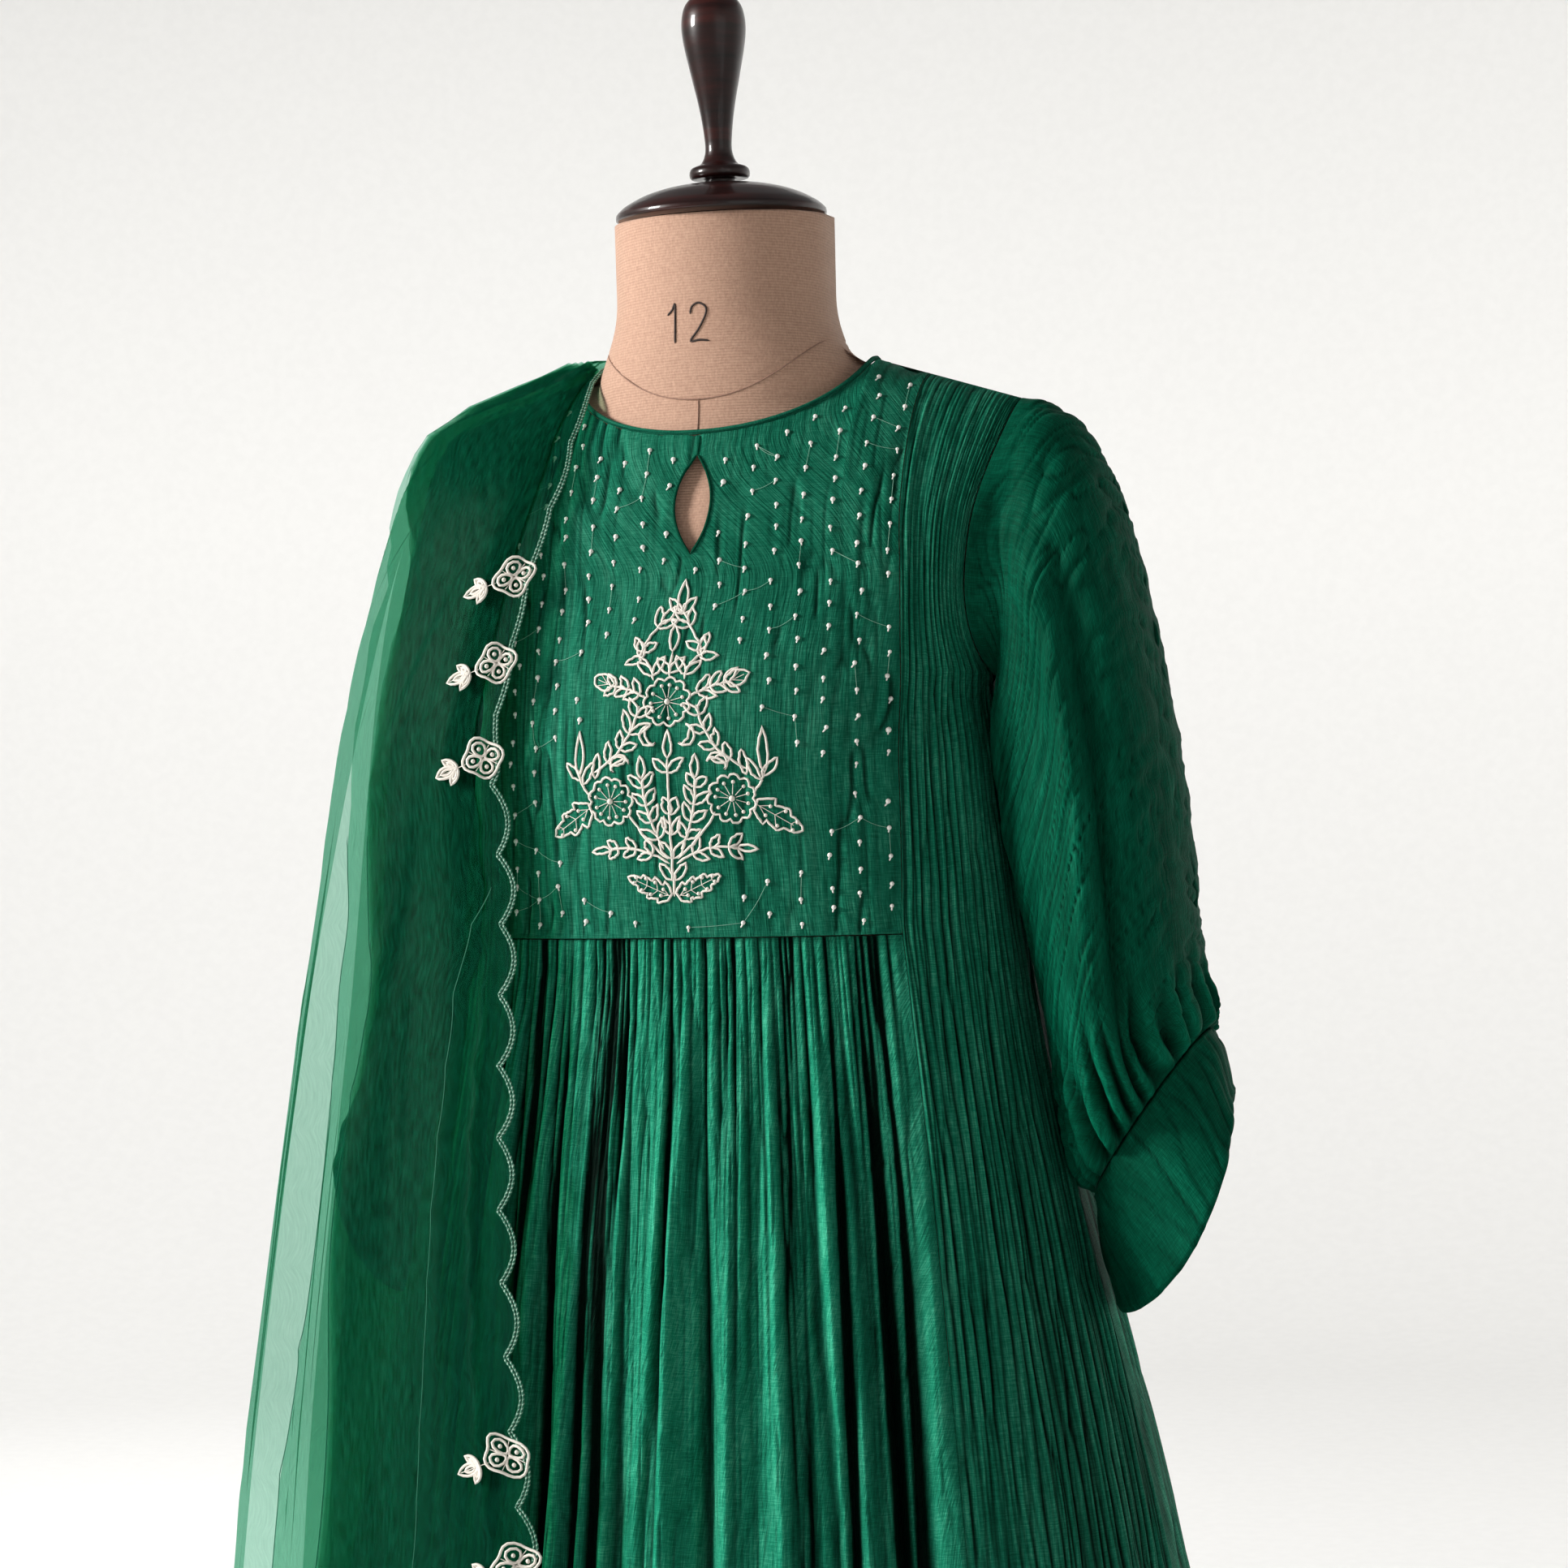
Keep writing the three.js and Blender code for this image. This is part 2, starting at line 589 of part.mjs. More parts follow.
function sleeve(side, fullness) {
  const rings = SLEEVE_RINGS.map((ring, i) =>
    squeezed(ring, mix(1, fullness, smooth((i + 2) / 4))),
  );
  const rowOf = (thick) => {
    const rows = [[]];
    for (let c = 0; c < SLEEVE_COLUMNS; c++)
      rows[0].push(armholePoint((c / SLEEVE_COLUMNS) * 2 * Math.PI, thick));
    rings.forEach((ring, r) => {
      const along = (r + 1) / rings.length;
      const row = [];
      for (let c = 0; c < SLEEVE_COLUMNS; c++) {
        const angle = (c / SLEEVE_COLUMNS) * 2 * Math.PI;
        const gather = (c % 2 ? -1 : 1) * SLEEVE_GATHER_DEEP * smooth((along - 0.65) / 0.3);
        row.push(ringPoint(ring, angle, sleeveValley(angle, along) + gather - thick));
      }
      rows.push(row);
    });
    return rows;
  };
  return mirrored(gridWall(rowOf(0), rowOf(CLOTH), true), side);
}

function cuff(side, fullness) {
  const rings = CUFF_RINGS.map((ring) => squeezed(ring, fullness));
  const columns = 24;
  const drop = new THREE.Vector3(rings[0].crownZ - rings[0].underZ, 0, rings[0].underX - rings[0].crownX);
  drop.normalize().multiplyScalar(SEAM_GAP);
  const rowOf = (thick) =>
    rings.map((ring) =>
      Array.from({ length: columns }, (_, c) =>
        ringPoint(ring, (c / columns) * 2 * Math.PI, -thick).add(drop),
      ),
    );
  return mirrored(gridWall(rowOf(0), rowOf(CLOTH), true), side);
}

// The same shape on the other side of the body.
function mirrored(geometry, side) {
  if (side > 0) return geometry;
  const position = [...geometry.attributes.position.array].map((v, i) => (i % 3 ? v : -v));
  return closed({ position, index: [...geometry.index.array] });
}

// ---- the dupatta -----------------------------------------------------------
const dupatta = Object.fromEntries(
  ["inner", "side", "front", "back", "flap", "power"].map((name) => [
    name,
    column(DUPATTA_SECTIONS, name),
  ]),
);

// The kurta's outer face with its folds filled in, which the organza clears. It also clears
// the bound edge of the neck, under the shoulder's fall.
function clothUnder(x, z, face) {
  const belowSeam = YOKE_SEAM_Z - z;
  const folds = smooth(belowSeam / 260) * SKIRT_FOLD_DEEPEST + 3 * smooth((belowSeam + 20) / 20);
  const neck = 8 * smooth((z - 1340) / 40) * smooth((102 - x) / 12);
  return bodyDepth(x, z, face) + (face === "front" ? folds : 0) + DUPATTA_CLEAR + neck;
}

// The front edge turns back on itself as it falls, so that its border lies on a loose flap.
function flapTurn(across) {
  const rise = smooth(across / 0.2);
  const fall = smooth((across - 0.2) / 0.18);
  return rise - 1.15 * fall + 0.15 * smooth((across - 0.38) / 0.3);
}
const flapLayer = (across) => 1 - smooth((across - 0.16) / 0.22);

// A point of the organza: across runs 0 at the inner edge to 1 at the side, over the arm.
function dupattaPoint(across, z, face, out) {
  const side = dupatta.side(z);
  const power = 2 / dupatta.power(z);
  const edge = dupatta.inner(z) - scallop(z, face) * (1 - across) ** 6;
  const innerAngle = Math.asin(Math.min(0.999, (edge / side) ** (1 / power)));
  const open = SLIT_OPENING * smooth((DUPATTA_SLIT_Z - z) / 160);
  const widen = 1 / Math.cos(open) ** power;
  const flap = face === "front" ? dupatta.flap(z) : 0;
  const turn = mix(innerAngle, Math.PI / 2 - open, across);
  const angle = turn + ((1.15 * flap) / side) * flapTurn(across);
  const x = side * widen * Math.sin(angle) ** power;
  const hang = dupatta[face](z) * Math.max(Math.cos(angle), 0) ** power;
  const under = clothUnder(x, z, face) * (1 - across ** 12);
  const depth = smoothMax(hang, under, 8 * (1 - across ** 4) + 0.01) + 0.24 * flap * flapLayer(across);
  const sign = signOf[face];
  const up = 0.2 * smooth((z - CHEST_Z) / 90) + 1.4 * smooth((z - 1380) / 30);
  const normal = new THREE.Vector3(-Math.sin(angle), sign * Math.cos(angle), up).normalize();
  const point = new THREE.Vector3(-x, sign * depth, z);
  return point.addScaledVector(normal, out + dupattaWave(across, z, face));
}

// The ridge over the shoulder, where the front turns into the back.
function dupattaRidge(across, out) {
  return new THREE.Vector3(-mix(75.6, 88, across), 1, DUPATTA_TOP_Z + out);
}

// Long soft folds that fan out from the shoulder.
function dupattaWave(across, z, face) {
  const grown = smooth((1330 - z) / 300) * smooth(across / 0.3) * (1 - smooth((across - 0.8) / 0.2));
  const waves = face === "front" ? 3 : 4;
  return 4.5 * grown * (1 + Math.sin(2 * Math.PI * waves * across));
}

// The border's scallops, as a wave along the inner edge.
const scallop = (z, face) =>
  face === "front" ? SCALLOP_DEEP * Math.abs(Math.sin((Math.PI * (z - HEM_Z)) / SCALLOP_LENGTH)) : 0;

function dupattaSheet() {
  const columns = 15;
  const rows = [300, 390, 475, 560, 645, 730, 815, 890, DUPATTA_SLIT_Z, 1030, 1100, 1165, 1220];
  rows.push(1265, 1305, 1340, 1366, 1386, 1401, 1413, 1421);
  const slitRow = rows.indexOf(DUPATTA_SLIT_Z);
  const outer = [];
  const inner = [];
  const place = (at) => {
    inner.push(at(-ORGANZA));
    return outer.push(at(0)) - 1;
  };
  const acrossAt = (c) => c / columns;
  const ridge = Array.from({ length: columns + 1 }, (_, c) =>
    place((out) => dupattaRidge(acrossAt(c), out)),
  );
  const gridOf = (face, shared) => {
    const lines = rows.map((z, r) =>
      Array.from({ length: columns + 1 }, (_, c) =>
        shared && c === columns && r >= slitRow
          ? shared[r][c]
          : place((out) => dupattaPoint(acrossAt(c), z, face, out)),
      ),
    );
    return [...lines, ridge];
  };
  const front = gridOf("front", null);
  const back = gridOf("back", front);
  const quads = [];
  for (let r = 0; r < rows.length; r++)
    for (let c = 0; c < columns; c++) {
      quads.push([front[r][c], front[r][c + 1], front[r + 1][c + 1], front[r + 1][c]]);
      quads.push([back[r][c + 1], back[r][c], back[r + 1][c], back[r + 1][c + 1]]);
    }
  return closed(thicken(outer, inner, quads));
}

// ---- the dress form --------------------------------------------------------
const formHalfWidth = column(FORM_SECTIONS, "halfWidth");
const formDepth = { front: column(FORM_SECTIONS, "front"), back: column(FORM_SECTIONS, "back") };
const formSide = column(FORM_SIDE, "x");
const neckForward = (z) => mix(NECK_FORWARD.base, NECK_FORWARD.top, clamp01((z - 1390) / 110));
const neckFlare = (z) => smooth((1462 - z) / 60) ** 1.5 * smooth((z - 1406) / 12);
const neckHalfWidth = (z) => NECK_HALF.width + NECK_FLARE * neckFlare(z);

function formSurface(x, z, face) {
  if (z < UNDERARM_Z) {
    const across = clamp01(Math.abs(x) / formHalfWidth(z)) ** SECTION_POWER;
    return formDepth[face](z) * (1 - across) ** (1 / SECTION_POWER);
  }
  const inset = mix(8, FORM_UNDER_CLOTH, smooth((z - UNDERARM_Z) / 90));
  const rounded = FORM_RIDGE_DEPTH * Math.sqrt(Math.max(0, 1 - (x / formEdge(z)) ** 2));
  const chest = Math.max(bodyDepth(x, z + 6, face) - inset, rounded);
  if (z < 1340) return chest;
  const beyond = Math.abs(x) - neckHalfWidth(z);
  const round = NECK_HALF.depth * Math.sqrt(Math.max(0, 1 - (x / neckHalfWidth(z)) ** 2));
  const neck = beyond < 0 ? round : -4 * beyond;
  return smoothMax(chest, neck - signOf[face] * neckForward(z), 5);
}

function formEdge(z) {
  if (z < UNDERARM_Z) return formHalfWidth(z);
  const ridge = NECK_HALF_WIDTH + (NECK_POINT_Z - 7 - z) / SHOULDER_SLOPE;
  return smoothMax(Math.min(formSide(z), ridge), neckHalfWidth(z), 22);
}

function formTorso() {
  const half = 13; // points from one side to the other, on the front and on the back
  const zs = [848, 853, 862, 915, 975, 1030, 1085, 1140, 1190, 1230, 1262, 1300, 1340];
  zs.push(1366, 1382, 1391, 1399, 1406, 1413, 1420, 1432, 1455, NECK_TOP_Z);
  const rings = zs.map((z) => {
    const points = [];
    const forward = smooth((z - 1405) / 20) * neckForward(z);
    for (let i = 0; i < 2 * half; i++) {
      const turn = (i / half) * Math.PI;
      const face = i < half ? "front" : "back";
      const x = formEdge(z) * Math.cos(turn);
      const y = i % half ? signOf[face] * formSurface(x, z, face) : -forward;
      const lift = (y + forward) * Math.tan(NECK_TILT) * smooth((z - 1432) / 70);
      points.push(new THREE.Vector3(x, y, z + lift));
    }
    return points;
  });
  return cappedRings(rings);
}

// Rings of points joined into a solid with a flat fan at each end.
function cappedRings(rings) {
  const n = rings[0].length;
  const points = rings.flat();
  const index = [];
  for (let r = 0; r + 1 < rings.length; r++)
    for (let c = 0; c < n; c++) {
      const d = (c + 1) % n;
      const [p, q, s, t] = [r * n + c, r * n + d, (r + 1) * n + d, (r + 1) * n + c];
      index.push(p, q, s, p, s, t);
    }
  const last = points.length - n;
  for (const start of [0, last]) {
    const centre = new THREE.Vector3();
    for (let c = 0; c < n; c++) centre.addScaledVector(points[start + c], 1 / n);
    const middle = points.push(centre) - 1;
    for (let c = 0; c < n; c++) {
      const ends = [start + c, start + ((c + 1) % n)];
      index.push(middle, ...(start ? ends : ends.reverse()));
    }
  }
  return closed({ position: points.flatMap((v) => [v.x, v.y, v.z]), index });
}

// A turned piece: pairs of radius and height, from the axis and back to it.
function turned(profile, segments) {
  return new THREE.LatheGeometry(
    profile.map(([radius, height]) => new THREE.Vector2(radius, height)),
    segments,
  ).rotateX(Math.PI / 2);
}

const CAP_PROFILE = [
  [0, 0], [57, 0], [CAP_RADIUS, 2], [CAP_RADIUS, 5], [56, 10], [44, 16], [28, 20],
  [10, CAP_HEIGHT], [0, CAP_HEIGHT],
];
const FINIAL_PROFILE = [
  [0, 0], [9.5, 0], [8.5, 2.5], [17, 3], [17.5, 6], [16.5, 9], [11, 11], [8, 17], [7.8, 24],
  [10, 42], [14.5, 64], [18, 82], [18.6, 93], [16.5, 102], [10.5, 108.5], [0, 111],
];
const BASE_PROFILE = [
  [0, 0], [BASE_RADIUS, 0], [BASE_RADIUS + 3, 6], [BASE_RADIUS - 2, 16], [60, 24],
  [34, 34], [28, BASE_HEIGHT], [0, BASE_HEIGHT],
];

// ---- the whole -------------------------------------------------------------
const GREEN = { color: 0x0b5238, roughness: 0.62, metalness: 0 };
const FINISHES = {
  cotton_silk: GREEN,
  organza: { color: 0x1f6a4c, roughness: 0.45, metalness: 0 },
  jersey: { color: 0xc79f85, roughness: 0.85, metalness: 0 },
  dark_wood: { color: 0x2c0b0a, roughness: 0.2, metalness: 0 },
  stand_paint: { color: 0x241615, roughness: 0.35, metalness: 0.2 },
};

function piece(name, finish, geometry, position = [0, 0, 0], tilt = 0) {
  const mesh = new THREE.Mesh(geometry, new THREE.MeshStandardMaterial(FINISHES[finish]));
  mesh.name = name;
  mesh.position.set(...position);
  mesh.rotation.x = tilt;
  return mesh;
}

const FORM_BOTTOM_Z = FORM_SECTIONS[0].z;
const poleLength = FORM_BOTTOM_Z - BASE_HEIGHT - 2 * SEAM_GAP;

function pole() {
  return new THREE.CylinderGeometry(POLE_RADIUS, POLE_RADIUS, poleLength, 20).rotateX(Math.PI / 2);
}

const model = new THREE.Group();
const capPlace = [0, -NECK_FORWARD.top, NECK_TOP_Z + SEAM_GAP];
const capTop = CAP_HEIGHT + SEAM_GAP;
const finialPlace = [
  0,
  capPlace[1] - capTop * Math.sin(NECK_TILT),
  capPlace[2] + capTop * Math.cos(NECK_TILT),
];

model.add(
  piece("stand_base", "stand_paint", turned(BASE_PROFILE, 36)),
  piece("stand_pole", "stand_paint", pole(), [0, 0, (FORM_BOTTOM_Z + BASE_HEIGHT) / 2]),
  piece("form_torso", "jersey", formTorso()),
  piece("neck_cap", "dark_wood", turned(CAP_PROFILE, 28), capPlace, NECK_TILT),
  piece("neck_finial", "dark_wood", turned(FINIAL_PROFILE, 18), finialPlace, NECK_TILT),
  piece("front_yoke", "cotton_silk", frontYoke()),
  piece("front_skirt", "cotton_silk", gatheredSkirt()),
  piece("side_front_left", "cotton_silk", sideFront(1)),
  piece("side_front_right", "cotton_silk", sideFront(-1)),
  piece("back_panel", "cotton_silk", backPanel()),
  piece("neck_binding", "cotton_silk", neckBinding()),
  piece("sleeve_left", "cotton_silk", sleeve(1, 1)),
  piece("sleeve_right", "cotton_silk", sleeve(-1, RIGHT_SLEEVE_FULLNESS)),
  piece("cuff_left", "cotton_silk", cuff(1, 1)),
  piece("cuff_right", "cotton_silk", cuff(-1, RIGHT_SLEEVE_FULLNESS)),
  piece("dupatta", "organza", dupattaSheet()),
);

export default model;
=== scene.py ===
# %% [markdown]
# # A crinkled kurta and its sheer dupatta on a dress form
#
# The CAD model holds the true shape of every piece of cloth as a plain wall. Here each piece is
# made again as a fine surface on the same form, with its crinkles, gathers, embroidery and beads.
# A piece is a function of two parameters, worked out with numpy as whole arrays. Sizes are in
# millimetres and turn into metres when a mesh is made. +Z is up, the form faces -Y, and +X is the
# wearer's left.

import bpy
import numpy as np
from mathutils import Matrix


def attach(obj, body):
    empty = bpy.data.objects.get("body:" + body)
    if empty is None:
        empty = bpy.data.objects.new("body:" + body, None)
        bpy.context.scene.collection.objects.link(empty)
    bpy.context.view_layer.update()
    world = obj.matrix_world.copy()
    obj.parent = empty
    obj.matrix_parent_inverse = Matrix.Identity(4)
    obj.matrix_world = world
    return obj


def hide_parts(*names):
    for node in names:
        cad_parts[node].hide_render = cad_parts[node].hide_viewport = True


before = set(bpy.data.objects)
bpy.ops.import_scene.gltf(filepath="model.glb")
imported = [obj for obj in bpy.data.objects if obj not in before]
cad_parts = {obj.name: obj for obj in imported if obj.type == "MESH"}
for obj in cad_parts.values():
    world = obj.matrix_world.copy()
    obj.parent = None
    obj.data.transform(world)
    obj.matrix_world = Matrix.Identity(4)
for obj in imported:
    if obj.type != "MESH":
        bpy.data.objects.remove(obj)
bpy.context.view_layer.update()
MM = 0.001

# %% [markdown]
# ## The camera
#
# A close portrait lens looks a little up from chest height, turned towards the wearer's left, and
# leans by about a degree. The camera's three axes are worked out from these angles and written into
# its matrix, which is more exact than aiming it by eye.

# %% Camera
CAMERA_TURN = np.radians(18.0)
CAMERA_DISTANCE = 1.900
CAMERA_HEIGHT = 1.145
CAMERA_SIDESTEP = 0.024
CAMERA_LIFT = np.radians(0.9155)
CAMERA_LEAN = np.radians(1.2)
LENS_MM = 74.63
SENSOR_MM = 36.0


def camera_axes():
    """Right, up and back of the camera: turned about Z, lifted about its own right, then leaned."""
    right = np.array([np.cos(CAMERA_TURN), np.sin(CAMERA_TURN), 0.0])
    ahead = np.array([-np.sin(CAMERA_TURN), np.cos(CAMERA_TURN), 0.0])
    aim_turn = np.arctan2(CAMERA_SIDESTEP, CAMERA_DISTANCE)
    ahead = ahead * np.cos(aim_turn) + right * np.sin(aim_turn)
    right = np.cross(ahead, [0.0, 0.0, 1.0])
    up = np.array([0.0, 0.0, 1.0])
    forward = ahead * np.cos(CAMERA_LIFT) + up * np.sin(CAMERA_LIFT)
    up = up * np.cos(CAMERA_LIFT) - ahead * np.sin(CAMERA_LIFT)
    leaned_right = right * np.cos(CAMERA_LEAN) - up * np.sin(CAMERA_LEAN)
    leaned_up = up * np.cos(CAMERA_LEAN) + right * np.sin(CAMERA_LEAN)
    return leaned_right, leaned_up, -forward


lens = bpy.data.cameras.new("portrait_lens")
lens.lens = LENS_MM
lens.sensor_width = SENSOR_MM
camera = bpy.data.objects.new("camera", lens)
axes = Matrix([list(row) for row in np.array(camera_axes()).T]).to_4x4()
place = (
    CAMERA_DISTANCE * np.sin(CAMERA_TURN),
    -CAMERA_DISTANCE * np.cos(CAMERA_TURN),
    CAMERA_HEIGHT,
)
camera.matrix_world = Matrix.Translation(place) @ axes
bpy.context.scene.collection.objects.link(camera)
bpy.context.scene.camera = camera

# %% [markdown]
# ## Curves from short tables
#
# A garment is drafted from a few measured lines. Each table has a row for each height, and a smooth
# curve through one column gives the value at any height. Cubic Hermite pieces with slopes taken
# from the neighbouring rows are smooth, and they never need more points than the pattern has.

# %% Curves and blends


def smooth(t):
    """3t^2 - 2t^3 with t held between 0 and 1: a soft step."""
    t = np.clip(t, 0.0, 1.0)
    return t * t * (3.0 - 2.0 * t)


def mix(a, b, t):
    """a + (b - a) t."""
    return a + (b - a) * t


def hermite(knots, values, at):
    """A cubic Hermite curve through the values at the knots, with slopes from the neighbours."""
    knots = np.asarray(knots, float)
    values = np.asarray(values, float)
    slopes = np.empty_like(values)
    spans = (knots[2:] - knots[:-2]).reshape((-1,) + (1,) * (values.ndim - 1))
    slopes[1:-1] = (values[2:] - values[:-2]) / spans
    slopes[0] = (values[1] - values[0]) / (knots[1] - knots[0])
    slopes[-1] = (values[-1] - values[-2]) / (knots[-1] - knots[-2])
    at = np.clip(np.asarray(at, float), knots[0], knots[-1])
    i = np.clip(np.searchsorted(knots, at, side="right") - 1, 0, len(knots) - 2)
    step = knots[i + 1] - knots[i]
    t = (at - knots[i]) / step
    extra = (1,) * (values.ndim - 1)
    t = t.reshape(t.shape + extra)
    step = step.reshape(step.shape + extra)
    return (
        (2 * t**3 - 3 * t**2 + 1) * values[i]
        + (t**3 - 2 * t**2 + t) * step * slopes[i]
        + (3 * t**2 - 2 * t**3) * values[i + 1]
        + (t**3 - t**2) * step * slopes[i + 1]
    )


def columns_of(names, rows):
    """A table's columns as functions of its first column."""
    table = np.array(rows, float)
    return {
        name: (lambda z, c=c: hermite(table[:, 0], table[:, c], z))
        for c, name in enumerate(names.split())
        if c
    }


def smooth_max(a, b, k):
    """The larger of a and b, rounded off where they are within k of each other."""
    near = np.maximum(k - np.abs(a - b), 0.0) / k
    return np.maximum(a, b) + near * near * k / 4.0


# %% [markdown]
# ## Noise that runs along the cloth
#
# Crinkled cotton silk is full of long thin creases that run down the cloth, start anywhere and fade
# away. Smooth noise on a stretched lattice does this: where it crosses its middle value a ridge
# line appears, and the lines wander and branch as real creases do. The random table is seeded, so
# every run gives the same cloth.

# %% Noise
LATTICE = 128


def noise(u, v, seed):
    """Smooth values from 0 to 1: random numbers on whole (u, v), blended with soft steps."""
    table = np.random.default_rng(seed).random((LATTICE, LATTICE))
    iu, iv = np.floor(u).astype(int), np.floor(v).astype(int)
    fu, fv = smooth(u - iu), smooth(v - iv)
    iu, iv, ju, jv = iu % LATTICE, iv % LATTICE, (iu + 1) % LATTICE, (iv + 1) % LATTICE
    low = mix(table[iu, iv], table[ju, iv], fu)
    high = mix(table[iu, jv], table[ju, jv], fu)
    return mix(low, high, fv)


def creases(across, down, wide, long, seed):
    """Thin lines where stretched noise passes its middle: (1 - |2n - 1|)^4, from 0 to 1."""
    drift = 0.5 * noise(across / (5.0 * wide), down / (1.6 * long), seed + 1)
    n = noise(across / wide + drift, down / long, seed)
    return (1.0 - np.abs(2.0 * n - 1.0)) ** 4


def ribs(across, down, wide, long, seed):
    """Rounded ribs with narrow valleys: |sin| of a phase that drifts, faded in and out by noise."""
    drift = 1.1 * noise(across / (6.0 * wide), down / long, seed) + 0.5 * noise(
        across / (2.0 * wide), down / (0.5 * long), seed + 1
    )
    strength = 0.25 + 0.75 * noise(across / (3.0 * wide), down / (0.8 * long), seed + 2)
    return np.abs(np.sin(np.pi * (across / wide + drift))) ** 0.7 * strength


# %% [markdown]
# ## From a grid of points to a mesh
#
# A surface is a grid of points, rows by columns. Its quads join neighbouring points, and its UV map
# is the distance along the cloth in metres, so that weave and creases follow the cloth. A garment
# piece then gets a thin wall: the points again, moved in along their normals, and a rim along each
# free edge. Writing whole arrays with foreach_set is far faster than adding vertices one by one.

# %% Meshes from arrays


def grid_quads(rows, columns, ring=False):
    """Corners of the quads between neighbouring grid points. ring joins the last column to the first."""
    at = np.arange(rows * columns).reshape(rows, columns)
    right = np.roll(at, -1, axis=1)
    quads = np.stack([at[:-1], right[:-1], right[1:], at[1:]], axis=-1)
    if not ring:
        quads = quads[:, :-1]
    return quads.reshape(-1, 4)


def lengths_along(points):
    """Distance along each row and along each column, from its first point."""
    across = np.zeros(points.shape[:2])
    down = np.zeros(points.shape[:2])
    across[:, 1:] = np.cumsum(np.linalg.norm(np.diff(points, axis=1), axis=2), axis=1)
    down[1:] = np.cumsum(np.linalg.norm(np.diff(points, axis=0), axis=2), axis=0)
    return across, down


def vertex_normals(points, quads):
    """The sum of the normals of the quads round each point, made one long."""
    corners = points[quads]
    normal = np.cross(corners[:, 2] - corners[:, 0], corners[:, 3] - corners[:, 1])
    total = np.zeros_like(points)
    for c in range(4):
        for axis in range(3):
            total[:, axis] += np.bincount(quads[:, c], normal[:, axis], len(points))
    return total / np.maximum(np.linalg.norm(total, axis=1, keepdims=True), 1e-9)


def free_edges(quads):
    """The directed edges that only one quad uses."""
    edges = quads[:, [0, 1, 1, 2, 2, 3, 3, 0]].reshape(-1, 2)
    low, high = edges.min(axis=1), edges.max(axis=1)
    _, first, counts = np.unique(
        low * (edges.max() + 1) + high, return_index=True, return_counts=True
    )
    return edges[first[counts == 1]]


def walled(points, quads, thick):
    """The surface, the same surface moved in by the cloth's thickness, and a rim between them."""
    inner = points - thick * vertex_normals(points, quads)
    rim = free_edges(quads)
    n = len(points)
    sides = np.stack([rim[:, 1], rim[:, 0], rim[:, 0] + n, rim[:, 1] + n], axis=1)
    return np.vstack([points, inner]), np.vstack([quads, quads[:, ::-1] + n, sides])


def mesh_piece(name, points, quads, finish, uv=None):
    """An object at the origin from points in millimetres and quads, smooth shaded."""
    mesh = bpy.data.meshes.new(name)
    mesh.vertices.add(len(points))
    mesh.vertices.foreach_set("co", (points * MM).astype(np.float32).ravel())
    mesh.loops.add(quads.size)
    mesh.loops.foreach_set("vertex_index", quads.astype(np.int32).ravel())
    mesh.polygons.add(len(quads))
    mesh.polygons.foreach_set("loop_start", np.arange(0, quads.size, 4, dtype=np.int32))
    mesh.update(calc_edges=True)
    if uv is not None:
        layer = mesh.uv_layers.new(name="cloth")
        layer.data.foreach_set("uv", (uv[quads.ravel()] * MM).astype(np.float32).ravel())
    mesh.shade_smooth()
    mesh.materials.append(finish)
    piece = bpy.data.objects.new(name, mesh)
    bpy.context.scene.collection.objects.link(piece)
    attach(piece, "root")
    return piece


def hollows(grid, normals, ring, reaches=((1.6, 0.55, 0.5), (4.5, 2.6, 0.7))):
    """How far each point lies in a valley: (the mean of its neighbours to both sides - the point)
    along the normal, for a near and a far reach in millimetres. Crests come out below zero."""
    step = np.linalg.norm(np.diff(grid, axis=1), axis=2).mean()
    columns = grid.shape[1]
    total = np.zeros(grid.shape[:2])
    for reach, deep, share in reaches:
        n = max(1, int(round(reach / step)))
        at = np.arange(columns)
        before = (at - n) % columns if ring else np.clip(at - n, 0, columns - 1)
        after = (at + n) % columns if ring else np.clip(at + n, 0, columns - 1)
        sag = 0.5 * (grid[:, before] + grid[:, after]) - grid
        total += share * np.clip((sag * normals).sum(axis=2) / deep, -1, 1)
    return np.clip(total, -1, 1)


def evened(values, reach=9):
    """A running mean down each column, so that threads run straight past small bumps."""
    padded = np.pad(values, ((reach + 1, reach), (0, 0)), mode="edge")
    total = padded.cumsum(axis=0)
    return (total[2 * reach + 1 :] - total[: -2 * reach - 1]) / (2 * reach + 1)


def cloth_piece(
    name, grid, finish, thick=0.0, ring=False, out=1, keep=None, shade=1.0, painted_shading=None
):
    """A grid of points as a piece of cloth. out is -1 where the grid's own normals point inwards.
    shade scales the hollows, which the cotton silk turns into painted shade in the valleys and a painted
    highlight on the crests, and painted_shading adds more painted shade or highlight on the grid's last rows."""
    rows, columns = grid.shape[:2]
    across, down = lengths_along(grid)
    across = evened(across)
    normals = out * vertex_normals(grid.reshape(-1, 3), grid_quads(rows, columns, ring))
    hollow = shade * hollows(grid, normals.reshape(grid.shape), ring)
    if painted_shading is not None:
        hollow[-len(painted_shading) :] += painted_shading
    hollow = np.clip(hollow, -2.0, 1.0).ravel()
    quads = grid_quads(rows, columns, ring)
    if keep is not None:
        quads = quads[keep]
    if out < 0:
        quads = quads[:, ::-1]
    points = grid.reshape(-1, 3)
    uv = np.stack([across.ravel(), down.ravel()], axis=1)
    if thick:
        points, quads = walled(points, quads, thick)
        uv = np.vstack([uv, uv])
        hollow = np.concatenate([hollow, hollow])
    piece = mesh_piece(name, points, quads, finish, uv)
    # The attribute holds the painted shade and painted highlight that the material reads.
    layer = piece.data.attributes.new("hollow", "FLOAT", "POINT")
    layer.data.foreach_set("value", hollow.astype(np.float32))
    print(name, "has", 2 * len(quads), "triangles")
    return piece


